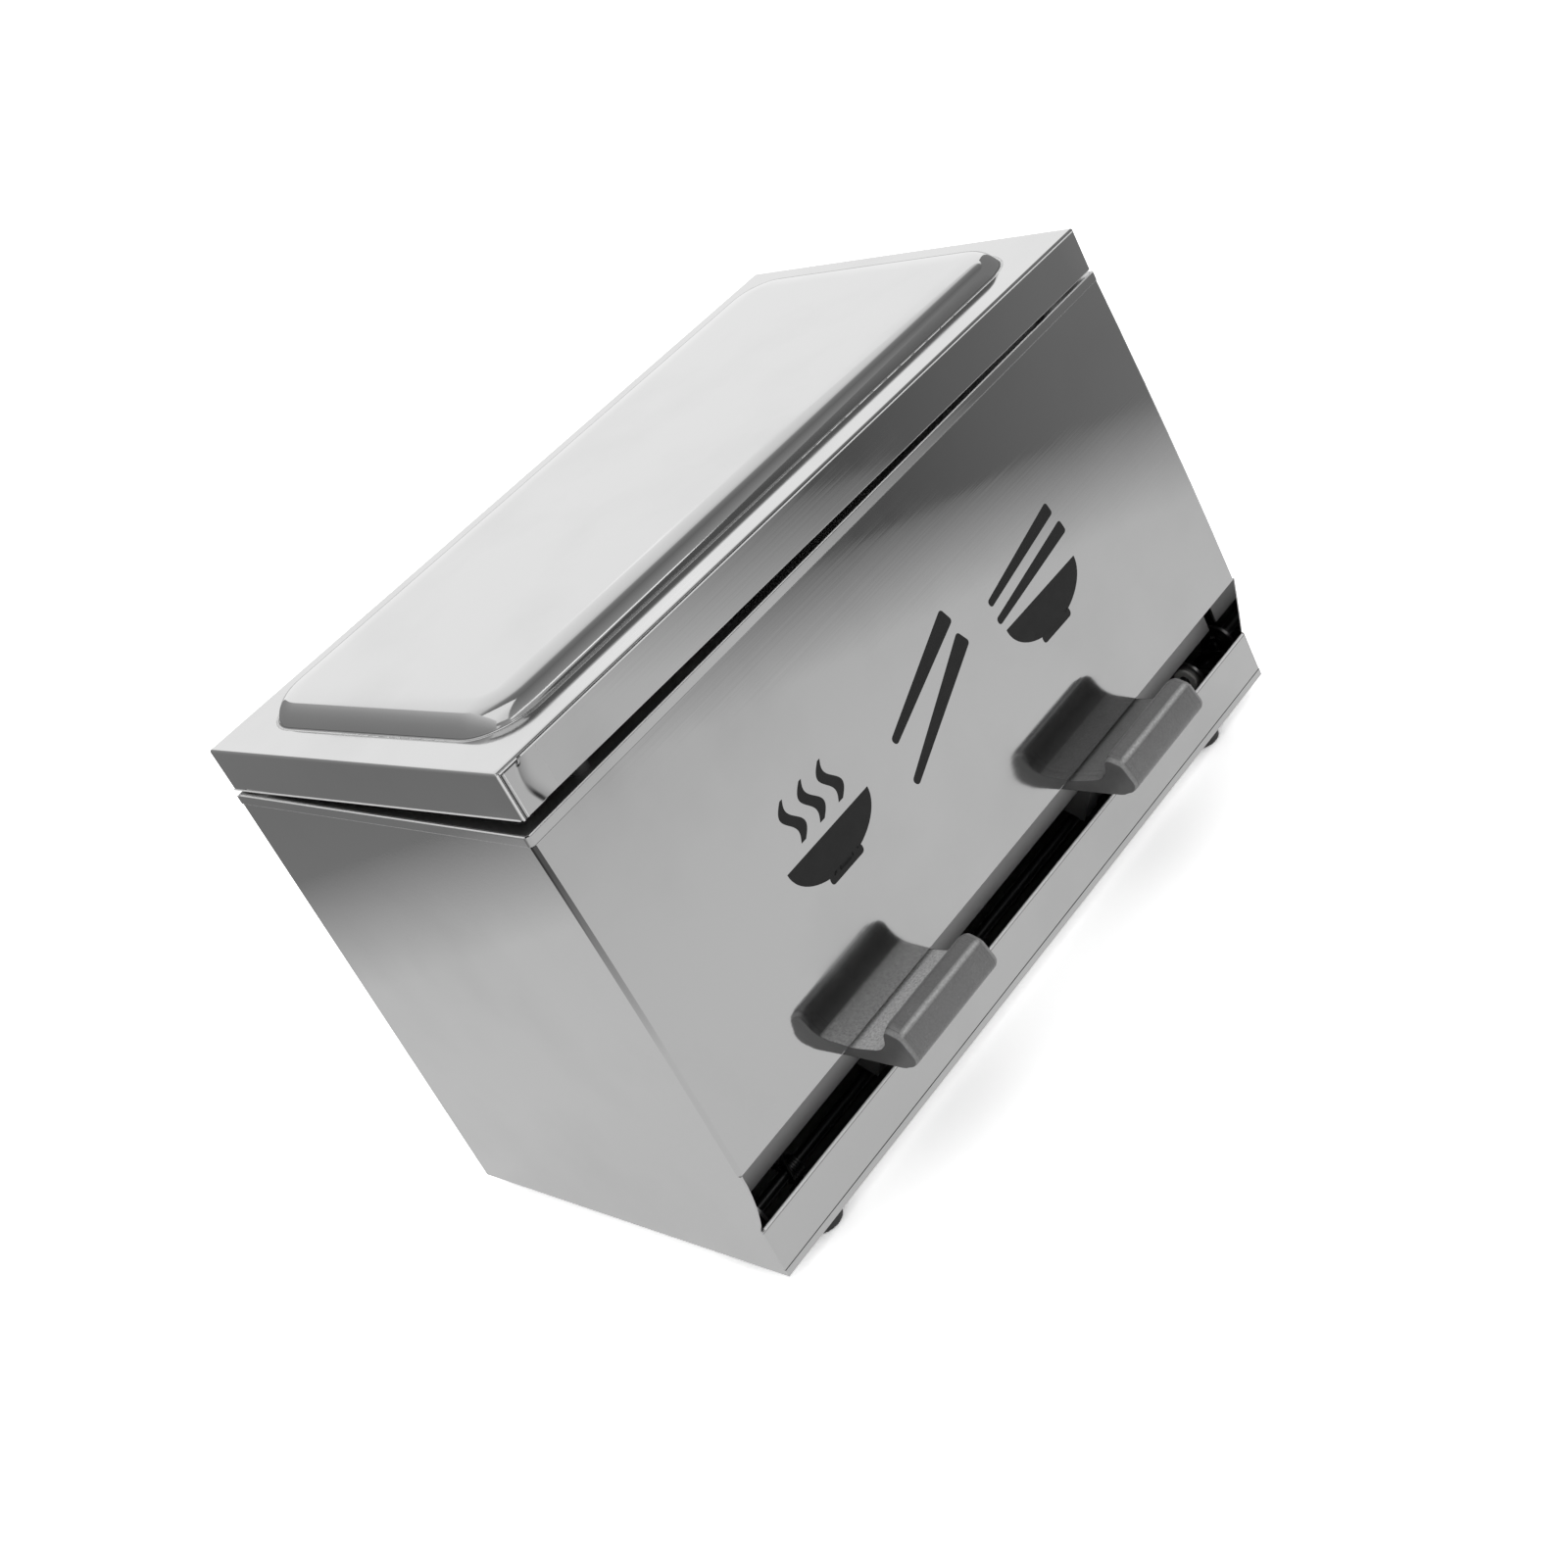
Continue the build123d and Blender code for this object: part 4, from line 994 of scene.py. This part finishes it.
# Strokes: start and end from the sign's middle, then the widths there
sticks = {
    "chopstick_pair": (
        ((-0.021, -0.014), (0.021, 0.008), 0.003, 0.0062),
        ((-0.021, 0.001), (0.019, 0.0175), 0.003, 0.0062),
    ),
    "laid_bowl": (
        ((-0.021, 0.002), (0.021, 0.0085), 0.0026, 0.0046),
        ((-0.021, 0.0085), (0.019, 0.0165), 0.0026, 0.0046),
    ),
}
for name, sign_x in (("steaming_bowl", -0.0575), ("chopstick_pair", -0.001), ("laid_bowl", 0.056)):
    sign = bmesh.new()
    sign_middle = Vector((sign_x, sign_z))
    if name != "chopstick_pair":
        bowl(sign, (sign_x, bowl_rim), bowl_radius, bowl_depth)
    if name == "steaming_bowl":
        for aside in wisps:
            steam(sign, sign_x + aside, wisp_foot, wisp_height)
    for start, end, start_width, end_width in sticks.get(name, ()):
        stroke(sign, sign_middle + Vector(start), sign_middle + Vector(end), start_width, end_width)
    for height in range(-3, 4):
        bmesh.ops.bisect_plane(
            sign,
            geom=[*sign.verts, *sign.edges, *sign.faces],
            plane_co=(0, 0, sign_z + height * cut_spacing),
            plane_no=(0, 0, 1),
        )
    for vert in sign.verts:
        vert.co.y = touch_panel(vert.co.x, vert.co.z) - ink_build
    bmesh.ops.recalc_face_normals(sign, faces=sign.faces)
    for face in sign.faces:
        if face.normal.y > 0:
            face.normal_flip()
    piece(sign, name, ink, "housing", "rubber")

# ---- Floor and light ----
# The holder stands on a white floor in a white surround. A broad lamp behind it shows in the lid,
# a soft lamp hangs over its left and a strip lamp over its front, and dark boards at its left
# rear, at its right front and overhead show in the steel.
floor_mesh = bmesh.new()
bmesh.ops.create_grid(floor_mesh, x_segments=1, y_segments=1, size=12.0)
floor_data = bpy.data.meshes.new("floor")
floor_mesh.to_mesh(floor_data)
floor_mesh.free()
floor = bpy.data.objects.new("floor", floor_data)
scene.collection.objects.link(floor)
pale, make = finish("pale_floor")
path = make.add("ShaderNodeLightPath")
to_camera = Shade(make.tree, path.socket.node.outputs["Is Camera Ray"])
to_gloss = Shade(make.tree, path.socket.node.outputs["Is Glossy Ray"])
place = make.add("ShaderNodeTexCoord", out=3)
reach = make.add("ShaderNodeVectorMath", {"operation": "LENGTH"}, {0: place}, out=1)
pool_start, pool_end = 0.08, 0.6
near_glow, far_glow = 0.62, 0.36
pool_falls = {0: reach, 1: pool_start, 2: pool_end, 3: near_glow, 4: far_glow}
pool = make.add("ShaderNodeMapRange", {}, pool_falls)
# Painted shadow: seen in reflections, the floor darkens along the foot of each dark board.
rear_left_line = ((-0.70, -0.325), (0.097, 0.847))
front_right_line = ((0.06, -0.845), (0.67, 0.25))
open_floor = 1.0
for (start, end), spread, board_shadow_tone in (
    (rear_left_line, 0.1, 0.37),
    (front_right_line, 0.145, 0.34),
):
    run = (Vector(end) - Vector(start)).normalized()
    side = Vector((run.y, -run.x, 0))
    offset = Vector(start).dot(side.xy)
    dot = {"operation": "DOT_PRODUCT"}
    reached = make.add("ShaderNodeVectorMath", dot, {0: place, 1: side}, out=1)
    away = make.add("ShaderNodeMath", {"operation": "ABSOLUTE"}, {0: reached - offset})
    spread_out = {0: away, 1: 0.0, 2: spread, 3: board_shadow_tone, 4: 1.0}
    open_floor = make.add("ShaderNodeMapRange", {}, spread_out) * open_floor
gloss_floor = to_gloss * open_floor
seen_white, lit_white, mirrored_white = 1.35, 0.8, 0.35
pale_shade = to_camera * seen_white + (1 - to_gloss) * lit_white + gloss_floor * mirrored_white
tone = make.add("ShaderNodeCombineColor", {}, {0: pale_shade, 1: pale_shade, 2: pale_shade})
matt = make.add("ShaderNodeBsdfDiffuse", {}, {"Color": tone})
lit = make.add("ShaderNodeEmission", {}, {"Strength": pool * gloss_floor})
both = make.add("ShaderNodeAddShader", {}, {0: matt, 1: lit})
make.add("ShaderNodeOutputMaterial", {}, {"Surface": both})
floor_data.materials.append(pale)


def stage_board(mesh, name, stops, along, start, power=1.3):
    """A board that only reflections see, its glow following stops along a direction."""
    data = bpy.data.meshes.new(name)
    mesh.to_mesh(data)
    mesh.free()
    obj = bpy.data.objects.new(name, data)
    scene.collection.objects.link(obj)
    material, make = finish(name)
    place = make.add("ShaderNodeTexCoord", out=3)
    dot = {"operation": "DOT_PRODUCT"}
    run = make.add("ShaderNodeVectorMath", dot, {0: place, 1: along}, out=1)
    glow = make.add("ShaderNodeValToRGB", {"stops": stops}, {"Fac": run - start})
    lit = make.add("ShaderNodeEmission", {}, {"Strength": glow * power})
    make.add("ShaderNodeOutputMaterial", {}, {"Surface": lit})
    data.materials.append(material)
    obj.visible_camera = False
    obj.visible_diffuse = False
    obj.visible_transmission = False
    obj.visible_shadow = False


def upright(name, start, end, head, stops, by_height=False):
    """An upright board on the floor from start to end, its stops running along it or up it."""
    mesh = bmesh.new()
    bmesh.ops.create_grid(mesh, x_segments=1, y_segments=1, size=0.5)
    run = Vector(end) - Vector(start)
    facing = run.normalized()
    turn = Matrix(((run.x, 0, facing.y), (run.y, 0, -facing.x), (0, head, 0)))
    bmesh.ops.transform(mesh, matrix=turn.to_4x4(), verts=mesh.verts)
    middle = (Vector(start) + Vector(end)) / 2
    bmesh.ops.translate(mesh, vec=(middle.x, middle.y, head / 2), verts=mesh.verts)
    if by_height:
        stage_board(mesh, name, stops, (0, 0, 1 / head), 0)
    else:
        along = (run.x / run.length_squared, run.y / run.length_squared, 0)
        stage_board(mesh, name, stops, along, Vector(start).dot(run) / run.length_squared)


def overhead(name, middle, size, turn, height, stops, power=1.3):
    """A level board overhead, turned about the vertical."""
    mesh = bmesh.new()
    bmesh.ops.create_grid(mesh, x_segments=1, y_segments=1, size=0.5)
    bmesh.ops.scale(mesh, vec=(size[0], size[1], 1), verts=mesh.verts)
    spin = Matrix.Rotation(radians(turn), 4, "Z")
    bmesh.ops.transform(mesh, matrix=Matrix.Translation((*middle, height)) @ spin, verts=mesh.verts)
    start = middle[1] - size[1] / 2
    stage_board(mesh, name, stops, (0, 1 / size[1], 0), start / size[1], power)


rear_left_stops = [
    (0.0, 0.2),
    (0.04, 0.188),
    (0.38, 0.277),
    (0.52, 0.334),
    (0.72, 0.46),
    (0.91, 0.6),
    (1.0, 0.7),
]
upright("rear_left_board", *rear_left_line, 0.9, rear_left_stops, by_height=True)
upright("front_right_board", *front_right_line, 0.5, [(0.40, 0.09), (0.56, 0.22)])
upright("front_board", (-1.5, -1.7), (2.5, -1.7), 1.6, [(0.0, 0.35), (1.0, 0.42)])
overhead_stops = [
    (0.0, 0.40),
    (0.15, 0.30),
    (0.28, 0.235),
    (0.40, 0.165),
    (0.50, 0.215),
    (0.545, 0.29),
    (0.60, 0.66),
    (0.70, 0.76),
    (1.0, 0.93),
]
overhead("overhead_board", (0.0, 0.3), (3.2, 3.8), 0, 1.25, overhead_stops)
overhead("soft_lamp_board", (-0.6, -0.28), (1.3, 0.75), 42, 1.2, [(0.0, 0.8), (0.6, 0.95)])
strip_stops = [(0.0, 0.2), (0.5, 1.0), (1.0, 0.2)]
overhead("strip_lamp_board", (0.5, -1.25), (2.8, 0.2), 0, 1.2, strip_stops, 2.2)

world = bpy.data.worlds.new("surround")
scene.world = world
world.use_nodes = True
world.node_tree.nodes.clear()
make = Shade(world.node_tree)
path = make.add("ShaderNodeLightPath")
to_camera = Shade(make.tree, path.socket.node.outputs["Is Camera Ray"])
to_gloss = Shade(make.tree, path.socket.node.outputs["Is Glossy Ray"])
to_glass = Shade(make.tree, path.socket.node.outputs["Is Transmission Ray"])
strength = (to_camera + to_gloss + to_glass) * 0.2 + 0.8
sky = make.add("ShaderNodeBackground", {}, {"Color": (1, 1, 1, 1), "Strength": strength})
make.add("ShaderNodeOutputWorld", {}, {"Surface": sky})

lamp_data = bpy.data.lights.new("rear_lamp", "AREA")
lamp_data.shape = "RECTANGLE"
lamp_data.size = 3.2
lamp_data.size_y = 1.9
lamp_glow = 0.24
lamp_data.energy = lamp_glow * pi * lamp_data.size * lamp_data.size_y
rear_lamp = bpy.data.objects.new("rear_lamp", lamp_data)
rear_lamp.location = (1.55, 2.0, 1.15)
toward = Vector((0, 0, 0.2)) - rear_lamp.location
rear_lamp.rotation_euler = toward.to_track_quat("-Z", "Y").to_euler()
scene.collection.objects.link(rear_lamp)

# ---- Camera ----
# The camera stands close to the front left corner and looks down on it. It is rolled, so that the
# box seems to stand on an edge.
camera_data = bpy.data.cameras.new("camera")
camera_data.lens = 52.279
camera_data.shift_x = 0.09251
camera_data.shift_y = -0.10937
camera = bpy.data.objects.new("camera", camera_data)
camera.location = (-0.38536, -0.50862, 0.42551)
camera.rotation_euler = (1.112840, 0.454771, -0.814170)
scene.collection.objects.link(camera)
scene.camera = camera
scene.view_settings.view_transform = "Standard"

bpy.context.view_layer.update()
